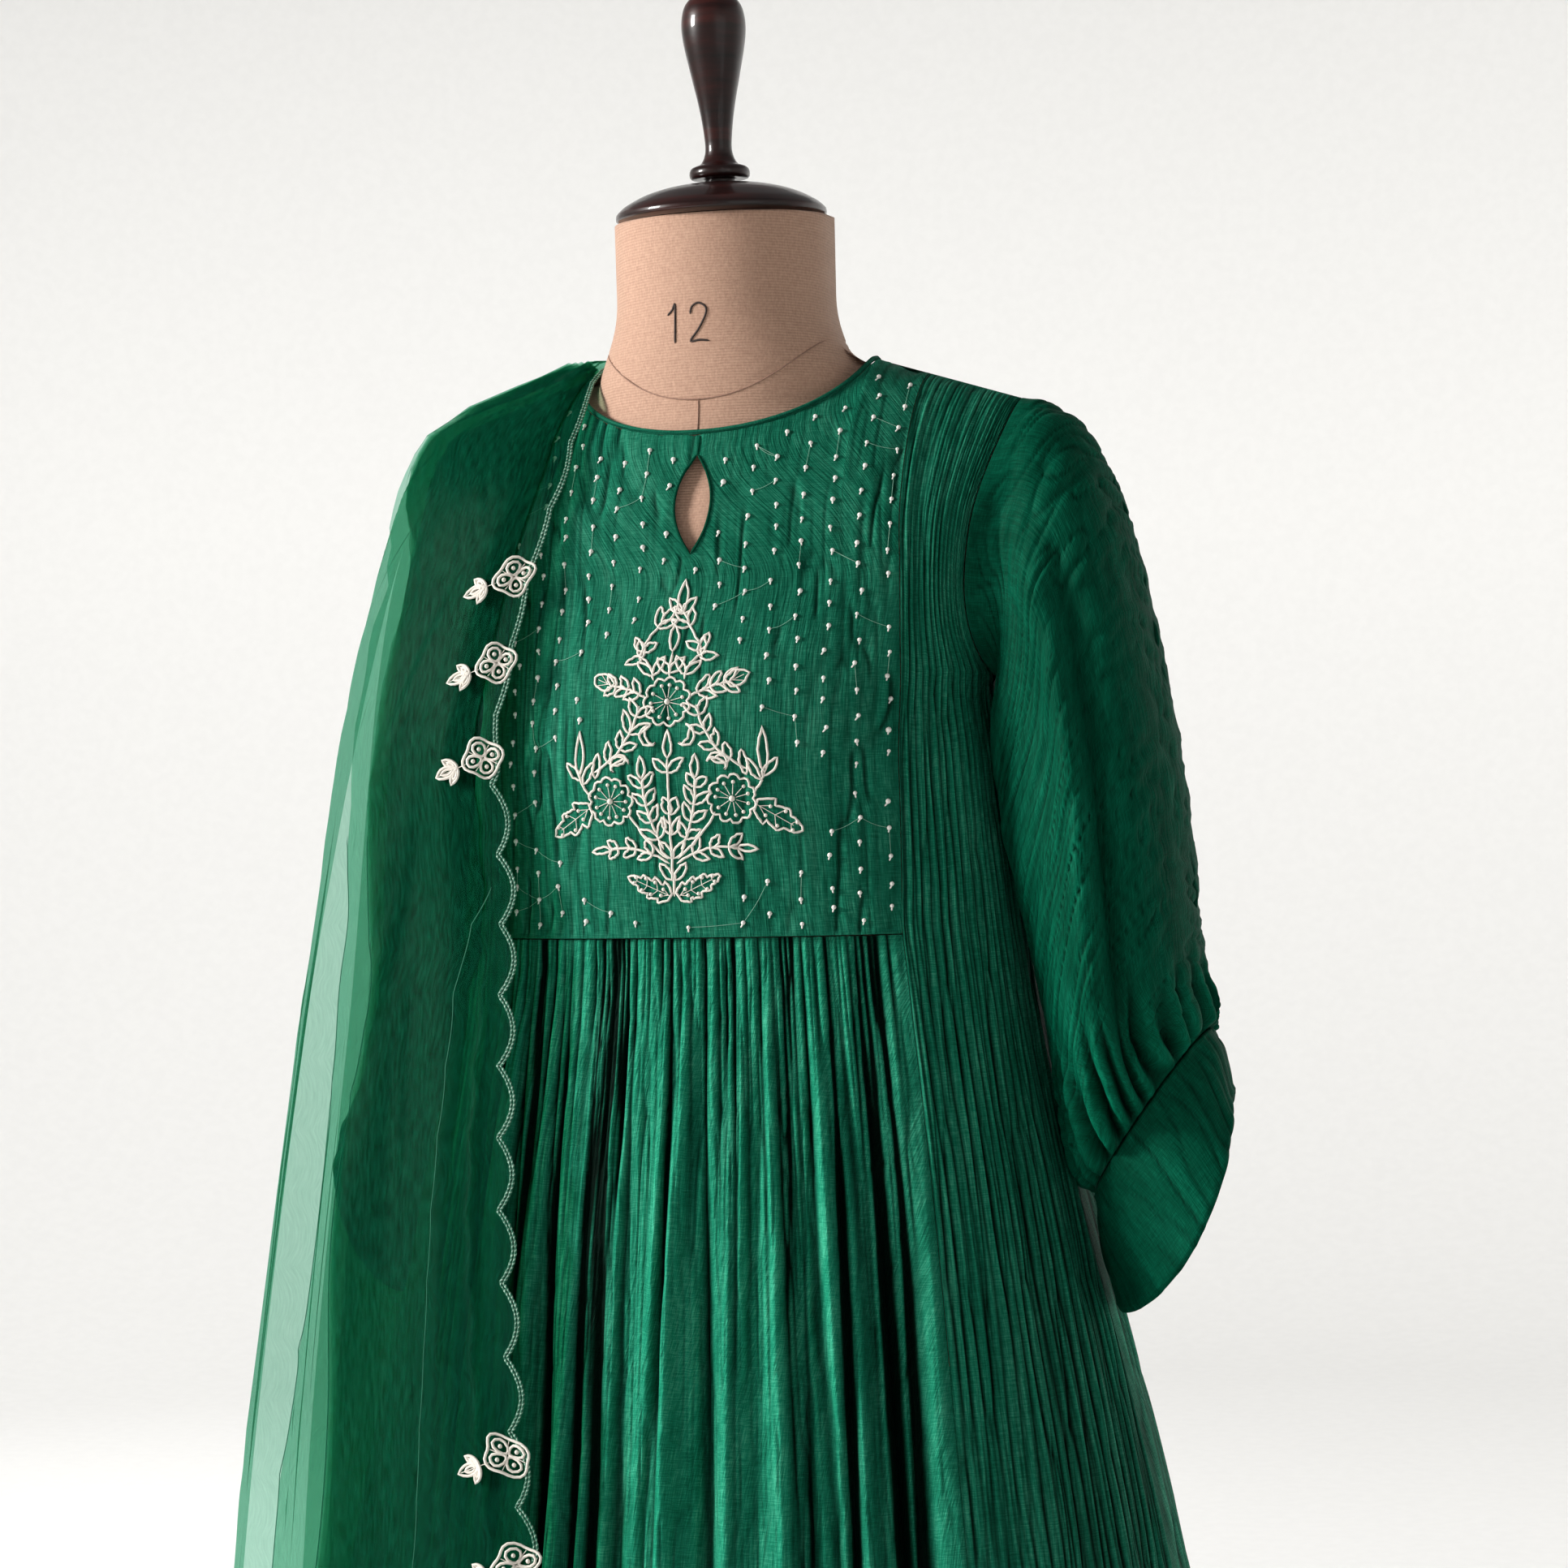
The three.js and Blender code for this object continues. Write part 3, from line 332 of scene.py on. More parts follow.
def moved_out(grid, heights, ring=False, out=1):
    """Each point of a grid moved along its own normal by its height."""
    quads = grid_quads(*grid.shape[:2], ring)
    normals = vertex_normals(grid.reshape(-1, 3), quads).reshape(grid.shape)
    return grid + out * heights[..., None] * normals


def hemmed(grid, ring=False, out=1, deep=18.0, rows=4):
    """The grid with its first row turned under: one cloth's thickness in, then up inside."""
    inward = -out * vertex_normals(grid.reshape(-1, 3), grid_quads(*grid.shape[:2], ring))
    inward = inward.reshape(grid.shape)[0]
    upward = grid[1] - grid[0]
    upward /= np.linalg.norm(upward, axis=1, keepdims=True)
    turned_in = []
    for share in np.linspace(1.0, 0.0, rows):
        turned_in.append(grid[0] + 1.6 * inward + deep * share * upward)
    turned_in.append(grid[0] + 0.9 * inward - 0.7 * upward)
    return np.concatenate([np.array(turned_in), grid])


# %% [markdown]
# ## Round cords, piping and threads
#
# Piping, embroidery thread and the dupatta's border are all a round profile carried along a path.
# One function sweeps the profile, and many strands are joined into one mesh.

# %% Strands


def strand(path, radius, up, sides=6, closed=False):
    """A ring of sides round each path point, across the path's direction. up fixes the ring's turn,
    and an open strand tapers at both ends."""
    path = np.asarray(path, float)
    ahead = np.roll(path, -1, axis=0) - np.roll(path, 1, axis=0)
    if not closed:
        ahead[0], ahead[-1] = path[1] - path[0], path[-1] - path[-2]
    ahead /= np.maximum(np.linalg.norm(ahead, axis=1, keepdims=True), 1e-9)
    side = np.cross(ahead, np.broadcast_to(up, path.shape))
    side /= np.maximum(np.linalg.norm(side, axis=1, keepdims=True), 1e-9)
    top = np.cross(side, ahead)
    turn = np.arange(sides) * 2 * np.pi / sides
    radius = np.broadcast_to(np.asarray(radius, float), len(path)).copy()
    if not closed:
        radius[[0, -1]] *= 0.3
    ring = side[:, None] * np.cos(turn)[:, None] + top[:, None] * np.sin(turn)[:, None]
    points = path[:, None] + radius[:, None, None] * ring
    quads = grid_quads(len(path), sides, ring=True)
    if closed:
        at = np.arange(sides)
        last = (len(path) - 1) * sides + at
        joint = np.stack([last, np.roll(last, -1), np.roll(at, -1), at], axis=1)
        quads = np.vstack([quads, joint])
    length = np.zeros(len(path))
    length[1:] = np.cumsum(np.linalg.norm(np.diff(path, axis=0), axis=1))
    uv = np.stack(np.broadcast_arrays(turn[None] * 3.0, length[:, None]), axis=-1)
    return points.reshape(-1, 3), quads[:, ::-1], uv.reshape(-1, 2)


def joined(parts):
    """Several meshes' points, quads and UVs as one."""
    points, quads, uvs, start = [], [], [], 0
    for p, q, uv in parts:
        points.append(p)
        quads.append(q + start)
        uvs.append(uv)
        start += len(p)
    return np.vstack(points), np.vstack(quads), np.vstack(uvs)


def sewn(name, parts, finish):
    """Several meshes' parts as one object."""
    points, quads, uv = joined(parts)
    return mesh_piece(name, points, quads, finish, uv)


def blob(centre, normal, radius, flat=0.8, sides=8, rings=5):
    """A small ball: rings of points from pole to pole, pressed flat along the normal."""
    normal = np.asarray(normal, float) / np.linalg.norm(normal)
    side = np.cross(normal, [0.0, 0.0, 1.0])
    side /= np.linalg.norm(side)
    top = np.cross(side, normal)
    lift = np.linspace(0.02, np.pi - 0.02, rings)[:, None]
    turn = (np.arange(sides) * 2 * np.pi / sides)[None]
    ring = np.sin(lift)[..., None] * (
        np.cos(turn)[..., None] * side + np.sin(turn)[..., None] * top
    )
    points = centre + radius * (ring + flat * np.cos(lift)[..., None] * normal)
    points = points.reshape(-1, 3)
    return points, grid_quads(rings, sides, ring=True), np.zeros((len(points), 2))


# %% [markdown]
# ## Finishes
#
# The kurta is cotton silk: green threads of slightly different shades, with thicker slubs across
# and a soft sheen where the cloth turns. Its weave and finest creases are bump, and all larger ones
# are real shape. Every pattern reads the cloth's own UV map, in metres along the cloth.

# %% Node helpers


def new_material(name):
    material = bpy.data.materials.new(name)
    material.use_nodes = True
    tree = material.node_tree
    return material, tree, tree.nodes["Principled BSDF"]


def add_node(tree, kind, settings=None, **inputs):
    """A node of a kind, with its settings, and its inputs set to values or linked to sockets."""
    node = tree.nodes.new(kind)
    for key, value in (settings or {}).items():
        setattr(node, key, value)
    for key, value in inputs.items():
        socket = node.inputs[key.replace("_", " ")]
        if isinstance(value, bpy.types.NodeSocket):
            tree.links.new(value, socket)
        else:
            socket.default_value = value
    return node


def stretched_noise(tree, source, scale, detail=2.0, rough=0.5):
    """Noise on a source of coordinates, stretched by a scale for each axis."""
    mapping = add_node(tree, "ShaderNodeMapping", Vector=source, Scale=scale)
    return add_node(
        tree,
        "ShaderNodeTexNoise",
        Vector=mapping.outputs["Vector"],
        Scale=1.0,
        Detail=detail,
        Roughness=rough,
    ).outputs["Fac"]


def math(tree, operation, a, b=0.0):
    node = tree.nodes.new("ShaderNodeMath")
    node.operation = operation
    for socket, value in zip(node.inputs, (a, b)):
        if isinstance(value, bpy.types.NodeSocket):
            tree.links.new(value, socket)
        else:
            socket.default_value = value
    return node.outputs[0]


def ramp(tree, factor, stops):
    """A colour ramp from stops of (place, colour)."""
    node = tree.nodes.new("ShaderNodeValToRGB")
    tree.links.new(factor, node.inputs["Fac"])
    elements = node.color_ramp.elements
    while len(elements) < len(stops):
        elements.new(0.5)
    for element, (at, colour) in zip(elements, stops):
        element.position = at
        element.color = (*colour, 1.0)
    return node.outputs["Color"]


def weighted(tree, *terms):
    """The sum of sockets, each times its own weight."""
    total = None
    for socket, weight in terms:
        term = math(tree, "MULTIPLY", socket, weight)
        total = term if total is None else math(tree, "ADD", total, term)
    return total


def set_bump(tree, shader, height, distance):
    bump = add_node(tree, "ShaderNodeBump", Height=height, Distance=distance, Strength=1.0)
    tree.links.new(bump.outputs["Normal"], shader.inputs["Normal"])


def set_inputs(shader, **values):
    """Set a shader's inputs by name, with _ for a space."""
    for key, value in values.items():
        shader.inputs[key.replace("_", " ")].default_value = value


# %% Cotton silk


# Painted shade and painted highlight: how much the hollow attribute darkens the colour in the valleys and
# lightens it on the crests.
VALLEY_SHADE = 0.95
CREST_LIGHT = 1.05


def cotton_silk(name, fine_crease, dark, mid, light):
    """Crinkled cotton silk. fine_crease is the height of its bump creases, in metres. Painted shade
    darkens the valleys and a painted highlight lightens the crests, by the hollow attribute."""
    material, tree, shader = new_material(name)
    uv = add_node(tree, "ShaderNodeUVMap", {"uv_map": "cloth"}).outputs["UV"]
    slubs = stretched_noise(tree, uv, (110.0, 1500.0, 1.0), 3.0, 0.65)
    threads = stretched_noise(tree, uv, (1500.0, 90.0, 1.0), 3.0, 0.6)
    patches = stretched_noise(tree, uv, (60.0, 12.0, 1.0), 3.0, 0.6)
    tone = weighted(tree, (slubs, 0.34), (threads, 0.36), (patches, 0.3))
    colour = ramp(tree, tone, [(0.36, dark), (0.5, mid), (0.64, light)])
    hollow = add_node(tree, "ShaderNodeAttribute", {"attribute_name": "hollow"}).outputs["Fac"]
    # Painted shade in the valleys and a painted highlight on the crests scale the colour.
    valley = math(tree, "MULTIPLY", math(tree, "MAXIMUM", hollow, 0.0), VALLEY_SHADE)
    crest = math(tree, "MULTIPLY", math(tree, "MINIMUM", hollow, 0.0), CREST_LIGHT)
    depth = math(tree, "SUBTRACT", math(tree, "SUBTRACT", 1.0, valley), crest)
    shaded = tree.nodes.new("ShaderNodeVectorMath")
    shaded.operation = "SCALE"
    tree.links.new(colour, shaded.inputs[0])
    tree.links.new(depth, shaded.inputs["Scale"])
    tree.links.new(shaded.outputs["Vector"], shader.inputs["Base Color"])
    crease = stretched_noise(tree, uv, (420.0, 26.0, 1.0), 3.0, 0.62)
    weave = weighted(tree, (slubs, 0.10), (threads, 0.08))
    set_bump(tree, shader, math(tree, "ADD", crease, weave), fine_crease)
    set_inputs(shader, Roughness=0.58, Specular_IOR_Level=0.03, Sheen_Weight=0.02)
    set_inputs(shader, Sheen_Roughness=0.35, Sheen_Tint=(0.05, 0.7, 0.42, 1.0))
    return material


GREEN_DARK = (0.001, 0.060, 0.033)
GREEN_MID = (0.007, 0.132, 0.077)
GREEN_LIGHT = (0.040, 0.245, 0.155)
panel_cloth = cotton_silk("panel_cotton_silk", 0.0015, GREEN_DARK, GREEN_MID, GREEN_LIGHT)
# The sleeves are the same cotton silk as the panels, painted darker than them as painted shade.
SLEEVE_DARK = (0.0001, 0.034, 0.018)
SLEEVE_MID = (0.0004, 0.066, 0.035)
SLEEVE_LIGHT = (0.003, 0.120, 0.068)
shaded_sleeve_cloth = cotton_silk("sleeve_cotton_silk_painted_shade", 0.0009, SLEEVE_DARK, SLEEVE_MID, SLEEVE_LIGHT)

# %% [markdown]
# Organza is so open that light passes between its threads. A shader that mixes a clear green-tinted
# pass-through with a thin cover of thread gives one pale layer over the background and a deeper one
# where the cloth lies double, because the layers are really there.

# %% Organza
ORGANZA_TINT = (0.50, 0.81, 0.67, 1.0)
ORGANZA_THREAD = (0.001, 0.092, 0.051)
ORGANZA_COVER = 0.25


def organza_cloth():
    """A mix of coloured transparency and threads, with a fine crossed weave in the cover."""
    material, tree, shader = new_material("organza")
    uv = add_node(tree, "ShaderNodeUVMap", {"uv_map": "cloth"}).outputs["UV"]
    weave = stretched_noise(tree, uv, (700.0, 90.0, 1.0), 2.0, 0.5)
    darker = tuple(0.7 * c for c in ORGANZA_THREAD)
    lighter = tuple(1.35 * c for c in ORGANZA_THREAD)
    colour = ramp(tree, weave, [(0.35, darker), (0.65, lighter)])
    tree.links.new(colour, shader.inputs["Base Color"])
    set_inputs(shader, Roughness=0.5, Specular_IOR_Level=0.06)
    clear = add_node(tree, "ShaderNodeBsdfTransparent", Color=ORGANZA_TINT)
    cover = math(tree, "ADD", ORGANZA_COVER - 0.15, math(tree, "MULTIPLY", weave, 0.3))
    both = add_node(tree, "ShaderNodeMixShader", Fac=cover)
    tree.links.new(clear.outputs["BSDF"], both.inputs[1])
    tree.links.new(shader.outputs["BSDF"], both.inputs[2])
    output = tree.nodes["Material Output"]
    tree.links.new(both.outputs["Shader"], output.inputs["Surface"])
    fine = stretched_noise(tree, uv, (500.0, 300.0, 1.0), 2.0, 0.6)
    set_bump(tree, shader, fine, 0.0003)
    return material


organza = organza_cloth()

# %% [markdown]
# The form is covered in a fine ribbed jersey, its cap and knob are turned wood under a deep gloss
# lacquer, and the stand is painted. Ivory thread, pearly bead knots and the two-coloured cord of the
# dupatta's border finish the set.

# %% Jersey, wood, paint and thread


def jersey_cloth():
    """Fine ribs round the form, over the tiny columns of a knit."""
    material, tree, shader = new_material("jersey")
    where = add_node(tree, "ShaderNodeTexCoord").outputs["Object"]
    wobble = stretched_noise(tree, where, (60.0, 60.0, 60.0), 2.0, 0.5)
    height = add_node(tree, "ShaderNodeSeparateXYZ", Vector=where).outputs["Z"]
    wavy = math(tree, "ADD", height, math(tree, "MULTIPLY", wobble, 0.0009))
    rib = math(tree, "SINE", math(tree, "MULTIPLY", wavy, 3900.0))
    grain = stretched_noise(tree, where, (900.0, 900.0, 420.0), 3.0, 0.6)
    tone = weighted(tree, (grain, 0.75), (rib, 0.06))
    colour = ramp(tree, tone, [(0.22, (0.46, 0.265, 0.185)), (0.55, (0.62, 0.385, 0.275))])
    tree.links.new(colour, shader.inputs["Base Color"])
    set_bump(tree, shader, math(tree, "ADD", math(tree, "MULTIPLY", rib, 0.4), grain), 0.00022)
    set_inputs(shader, Roughness=0.82, Sheen_Weight=0.2)
    return material


def lacquered_wood():
    """Dark red-brown grain that runs round the turning, under a clear coat."""
    material, tree, shader = new_material("dark_wood")
    where = add_node(tree, "ShaderNodeTexCoord").outputs["Object"]
    grain = stretched_noise(tree, where, (14.0, 14.0, 120.0), 5.0, 0.65)
    stops = [
        (0.32, (0.004, 0.0008, 0.0007)),
        (0.52, (0.018, 0.0022, 0.0016)),
        (0.75, (0.05, 0.006, 0.004)),
    ]
    colour = ramp(tree, grain, stops)
    tree.links.new(colour, shader.inputs["Base Color"])
    set_bump(tree, shader, grain, 0.0002)
    set_inputs(shader, Roughness=0.35, Specular_IOR_Level=0.25)
    set_inputs(shader, Coat_Weight=0.55, Coat_Roughness=0.05)
    return material


def plain_finish(name, colour, roughness, speck=0.15, scale=900.0, bump=0.0001):
    """One colour with a fine grain of lighter and darker specks."""
    material, tree, shader = new_material(name)
    where = add_node(tree, "ShaderNodeTexCoord").outputs["Object"]
    grain = stretched_noise(tree, where, (scale, scale, scale), 2.0, 0.5)
    low = tuple(c * (1 - speck) for c in colour)
    high = tuple(min(1.0, c * (1 + speck)) for c in colour)
    tree.links.new(ramp(tree, grain, [(0.35, low), (0.65, high)]), shader.inputs["Base Color"])
    set_bump(tree, shader, grain, bump)
    set_inputs(shader, Roughness=roughness)
    return material


def two_colour_cord():
    """A cord plied from a green and a white strand: slanted bands along its length."""
    material, tree, shader = new_material("border_cord")
    uv = add_node(tree, "ShaderNodeUVMap", {"uv_map": "cloth"}).outputs["UV"]
    split = add_node(tree, "ShaderNodeSeparateXYZ", Vector=uv)
    slant = weighted(tree, (split.outputs["X"], 330.0), (split.outputs["Y"], 2600.0))
    broken = stretched_noise(tree, uv, (100.0, 330.0, 1.0), 3.0, 0.7)
    band = math(tree, "ADD", math(tree, "MULTIPLY", math(tree, "SINE", slant), 0.35), broken)
    colour = ramp(tree, band, [(0.5, (0.004, 0.12, 0.065)), (0.85, (0.36, 0.56, 0.45))])
    tree.links.new(colour, shader.inputs["Base Color"])
    set_inputs(shader, Roughness=0.6)
    return material


jersey = jersey_cloth()
dark_wood = lacquered_wood()
stand_paint = plain_finish("stand_paint", (0.020, 0.009, 0.008), 0.32, 0.1, 300.0)
ivory_thread = plain_finish("ivory_thread", (0.90, 0.84, 0.76), 0.6, 0.09, 2500.0, 0.0003)
bead_white = plain_finish("bead_white", (0.95, 0.93, 0.88), 0.35, 0.04, 800.0)
pale_thread = plain_finish("pale_thread", (0.22, 0.48, 0.36), 0.6)
border_cord = two_colour_cord()
pen_ink = plain_finish("pen_ink", (0.035, 0.022, 0.018), 0.7)
fold_edge = plain_finish("fold_edge", (0.012, 0.17, 0.10), 0.6)
seam_thread = plain_finish("seam_thread", (0.34, 0.20, 0.145), 0.8)

# %% [markdown]
# ## The body of the kurta
#
# The panels share one outer form, so that their seams meet. A horizontal section is a superellipse,
# whose half width and depth come from the table. Over the shoulder the depth falls away to the
# ridge where the front and the back meet.

# %% The kurta's form
SEAM_GAP = 0.3
HEM_Z = 280.0
YOKE_SEAM_Z = 1090.0
UNDERARM_Z = 1235.0
CHEST_Z = 1290.0
YOKE_HALF = 119.0
NECK_HALF_WIDTH = 88.0
NECK_POINT_Z = 1419.0
FRONT_NECK_DROP = 47.0
BACK_NECK_DROP = 14.0
SHOULDER_SLOPE = np.tan(np.radians(18.0))
SHOULDER_HALF = 172.0
SECTION_POWER = 2.2
BACK_POWER = 3.0
SHOULDER_POWER = 1.6
FRONT, BACK = -1, 1

kurta = columns_of(
    "z half front back",
    [
        (280, 322, 235, 228), (500, 285, 198, 194), (757, 238, 158, 160), (933, 197, 136, 138),
        (1020, 178, 125, 127), (1090, 168, 118.5, 118), (1150, 161, 122, 112),
        (1190, 157, 127, 110), (1235, 152, 121, 109), (1290, 176, 101, 108),
        (1330, 196, 101, 108), (1460, 196, 101, 108),
    ],
)
armhole = columns_of(
    "z x", [(1235, 152), (1262, 149), (1290, 150), (1330, 157), (1370, 167), (1392, 172)]
)["x"]
panel_seam = columns_of(
    "z x",
    [(280, 205), (500, 184), (757, 157), (933, 138), (1090, 119), (1120, 119), (1460, 119)],
)["x"]


def ridge(x):
    """Height of the shoulder line: it slopes down evenly from the neck point."""
    return NECK_POINT_Z - (np.abs(x) - NECK_HALF_WIDTH) * SHOULDER_SLOPE


def body_depth(x, z, face):
    """How far the outer face stands from y = 0: D (1 - (|x|/a)^p)^(1/p), then over the shoulder."""
    half = kurta["half"](z)
    depth = kurta["front"](z) if face == FRONT else kurta["back"](z)
    fuller = 0.0 if face == FRONT else smooth((UNDERARM_Z - z) / 130.0)
    power = mix(SECTION_POWER, BACK_POWER, fuller)
    across = np.clip(np.abs(x) / half, 0, 1) ** power
    depth = depth * (1 - across) ** (1 / power)
    up = np.clip((z - CHEST_Z) / (ridge(x) - CHEST_Z), 0, 1) ** SHOULDER_POWER
    return depth * (1 - up) ** (1 / SHOULDER_POWER)


def body_points(x, z, face):
    """Points on the kurta's outer face, at least half a seam gap from y = 0."""
    depth = np.maximum(body_depth(x, z, face), SEAM_GAP / 2)
    return np.stack(np.broadcast_arrays(x, face * depth, z), axis=-1)


def top_edge(x, drop):
    """The neckline is half an ellipse. Beyond it the panels end at the shoulder line."""
    round_neck = NECK_POINT_Z - drop * np.sqrt(1 - np.clip(np.abs(x) / NECK_HALF_WIDTH, 0, 1) ** 2)
    return np.where(np.abs(x) < NECK_HALF_WIDTH, round_neck, ridge(x) - 0.02)


def heights_up(low, top, x, share, chest_share):
    """Heights from the lower edge to the top edge. Above the chest they close up, so that the
    shoulder is round: z = chest + rise * sin(angle)^(2/p)."""
    rise = ridge(x) - CHEST_Z
    start = max(low, CHEST_Z)
    angle_from = np.arcsin(np.clip((start - CHEST_Z) / rise, 0, 1) ** (SHOULDER_POWER / 2))
    angle_to = np.arcsin(np.clip((top - CHEST_Z) / rise, 0, 1) ** (SHOULDER_POWER / 2))
    straight = mix(low, CHEST_Z, np.clip(share / chest_share, 0, 1))
    angle = mix(angle_from, angle_to, np.clip((share - chest_share) / (1 - chest_share), 0, 1))
    curved = CHEST_Z + rise * np.sin(angle) ** (2 / SHOULDER_POWER)
    return np.where(share < chest_share, straight, curved)


def seam_fade(rows, columns, across_steps=3, down_steps=2, edges="lrtb"):
    """1 inside a panel and 0 on the seams it is sewn along, so that neighbours still meet."""
    c = np.arange(columns)
    r = np.arange(rows)
    left = smooth(c / across_steps) if "l" in edges else np.ones(columns)
    right = smooth((columns - 1 - c) / across_steps) if "r" in edges else np.ones(columns)
    top = smooth((rows - 1 - r) / down_steps) if "t" in edges else np.ones(rows)
    low = smooth(r / down_steps) if "b" in edges else np.ones(rows)
    return (low * top)[:, None] * (left * right)[None]


# %% [markdown]
# ## The yoke
#
# The yoke is flat over the bust and lightly crinkled, and its keyhole is cut out of the grid. Points
# inside the keyhole slide to its edge, and the quads whose middle lies inside are left out, so the
# edge is smooth at any grid size.

# %% Yoke
KEYHOLE_X = 4.0
KEYHOLE_TOP = 1360.0
KEYHOLE_BOTTOM = 1303.0
KEYHOLE_HALF = 10.5


def keyhole_half(z):
    """Half the keyhole's width: w (1 - t^2), with t from -1 at the bottom to 1 at the top."""
    middle, half = (KEYHOLE_TOP + KEYHOLE_BOTTOM) / 2, (KEYHOLE_TOP - KEYHOLE_BOTTOM) / 2
    return KEYHOLE_HALF * np.clip(1 - ((z - middle) / half) ** 2, 0, None)


def yoke_relief(points):
    """Height of the yoke's creases: short sharp slashes, thin long lines, and ribs at the sides."""
    across, down = points[..., 0] + 150.0, 1430.0 - points[..., 2]
    edge = smooth((np.abs(points[..., 0] - 20.0) - 30.0) / 80.0)
    somewhere = smooth((noise(across / 16.0, down / 36.0, 15) - 0.44) / 0.2)
    slashes = creases(across, down, 9.0, 42.0, 11) * somewhere
    lines = creases(across, down, 6.0, 60.0, 14)
    side_ribs = edge * ribs(across, down, 7.0, 120.0, 17)
    return -(1.5 + 0.9 * edge) * slashes - (0.35 + 0.7 * edge) * lines + 0.7 * side_ribs


def yoke_surface(rows, columns):
    """The yoke's grid and which of its quads are cloth."""
    edge = YOKE_HALF - SEAM_GAP
    share = np.linspace(0, 1, rows)[:, None]
    x = np.linspace(-edge, edge, columns)[None] + 0 * share
    z = heights_up(YOKE_SEAM_Z + SEAM_GAP, top_edge(x, FRONT_NECK_DROP), x, share, 0.6)
    from_middle = x - KEYHOLE_X
    inside = np.abs(from_middle) < keyhole_half(z)
    side = np.where(from_middle < 0, -1, 1)
    moved = np.where(inside, KEYHOLE_X + side * keyhole_half(z), x)
    middle_x = (x[1:, 1:] + x[:-1, :-1]) / 2
    middle_z = (z[1:, 1:] + z[:-1, :-1]) / 2
    keep = (np.abs(middle_x - KEYHOLE_X) >= keyhole_half(middle_z)).ravel()
    return body_points(moved, z, FRONT), keep


YOKE_ROWS, YOKE_COLUMNS = 190, 290
yoke_grid, yoke_keep = yoke_surface(YOKE_ROWS, YOKE_COLUMNS)
yoke_fade = seam_fade(YOKE_ROWS, YOKE_COLUMNS, edges="lrb")
yoke_grid = moved_out(yoke_grid, yoke_relief(yoke_grid) * yoke_fade)
yoke = cloth_piece("yoke", yoke_grid, panel_cloth, keep=yoke_keep, shade=0.8)
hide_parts("front_yoke")

# %% [markdown]
# ## The gathered front
#
# Under the yoke seam the cloth is drawn up into about forty-six small gathers. A gather has a broad
# crest and a narrow valley, and no two are alike. So the valleys are drawn, not the crests: each
# starts at the seam, wanders down and fades out, and every third grows into a deep fold. The eight
# large folds under them keep their place in the width as the skirt flares.

# %% Gathered front
GATHERS = 46
LONG_EVERY = 3
SKIRT_FOLDS = [
    (-0.63, 0.07, 15), (-0.47, 0.055, 17), (-0.24, 0.1, 19), (-0.03, 0.055, 18),
    (0.15, 0.05, 19), (0.3, 0.05, 17), (0.45, 0.055, 19), (0.65, 0.08, 15),
]


def valley_starts():
    """Where each valley leaves the seam, from -1 to 1: gathers of very uneven widths, side by side."""
    dice = np.random.default_rng(31)
    widths = 0.4 + 1.5 * dice.random(GATHERS) ** 1.6
    return 2 * (np.cumsum(widths) - widths / 2) / widths.sum() - 1


def valleys(share, below, half):
    """Narrow valleys with broad crests between them: the sum of -deep * exp(-|d / wide|^1.3), where
    d is the distance from the valley's wandering line. Most fade out, every third runs on and grows."""
    dice = np.random.default_rng(37)
    total = np.zeros(np.broadcast_shapes(share.shape, below.shape))
    for k, start in enumerate(valley_starts()):
        reach = 60.0 + 330.0 * dice.random() ** 1.7
        deep, bend, turn, lean = 2.2 + 2.6 * dice.random(), *dice.standard_normal(3)
        bold = 0.35 + 0.9 * dice.random()
        runs_on = k % LONG_EVERY == 1
        wander = 0.009 * bend * np.sin(below / 190.0 + 3.0 * turn) * smooth(below / 200.0)
        line = start + wander + 0.02 * lean * smooth(below / 500.0)
        amount = mix(0.6, 1.0, smooth(below / 18.0))
        if runs_on:
            height = mix(deep, 15.0 * bold, smooth((below - 25.0) / 300.0)) * amount
            wide = mix(1.5, 2.8 + 3.8 * bold, smooth(below / 380.0))
            belly = 0.3 * height * np.exp(-((half * (share - line) / (3.6 * wide)) ** 2))
        else:
            height = deep * amount * (1 - smooth((below - 0.35 * reach) / (0.65 * reach)))
            wide = 1.25 + 1.6 * smooth(below / 260.0)
            belly = 0.0
        total -= height * np.exp(-(np.abs(half * (share - line) / wide) ** 1.3)) + belly
    return total


def soft_folds(share, below):
    """Low folds between the valleys, so that no crest is flat: 3.4 cos(2 pi p) with a drifting p."""
    drift = 1.5 * noise(share * 4.0 + 3.0, below / 330.0, 41) + 0.6 * noise(
        share * 9.0 + 9.0, below / 170.0, 43
    )
    uneven = 0.3 + noise(share * 8.0 + 60.0, below / 220.0, 42)
    return 3.4 * smooth(below / 120.0) * uneven * np.cos(2 * np.pi * (9.0 * share + drift))


def large_folds(share, below):
    """Rounded crests exp(-(d/w)^2) at set places across the width, growing down from the seam."""
    grown = 0.75 * smooth(below / 260.0) + 0.25 * smooth(below / 800.0)
    total = 0.0
    for at, wide, deep in SKIRT_FOLDS:
        wander = 0.012 * np.sin(below / 140.0 + 9.0 * at)
        total = total + deep * np.exp(-(((share - at - wander) / wide) ** 2))
    return grown * total


def place_in_row(values):
    """Each value's place among those of its row, from 0 for the smallest to 1 for the largest."""
    return values.argsort(axis=1).argsort(axis=1) / (values.shape[1] - 1.0)


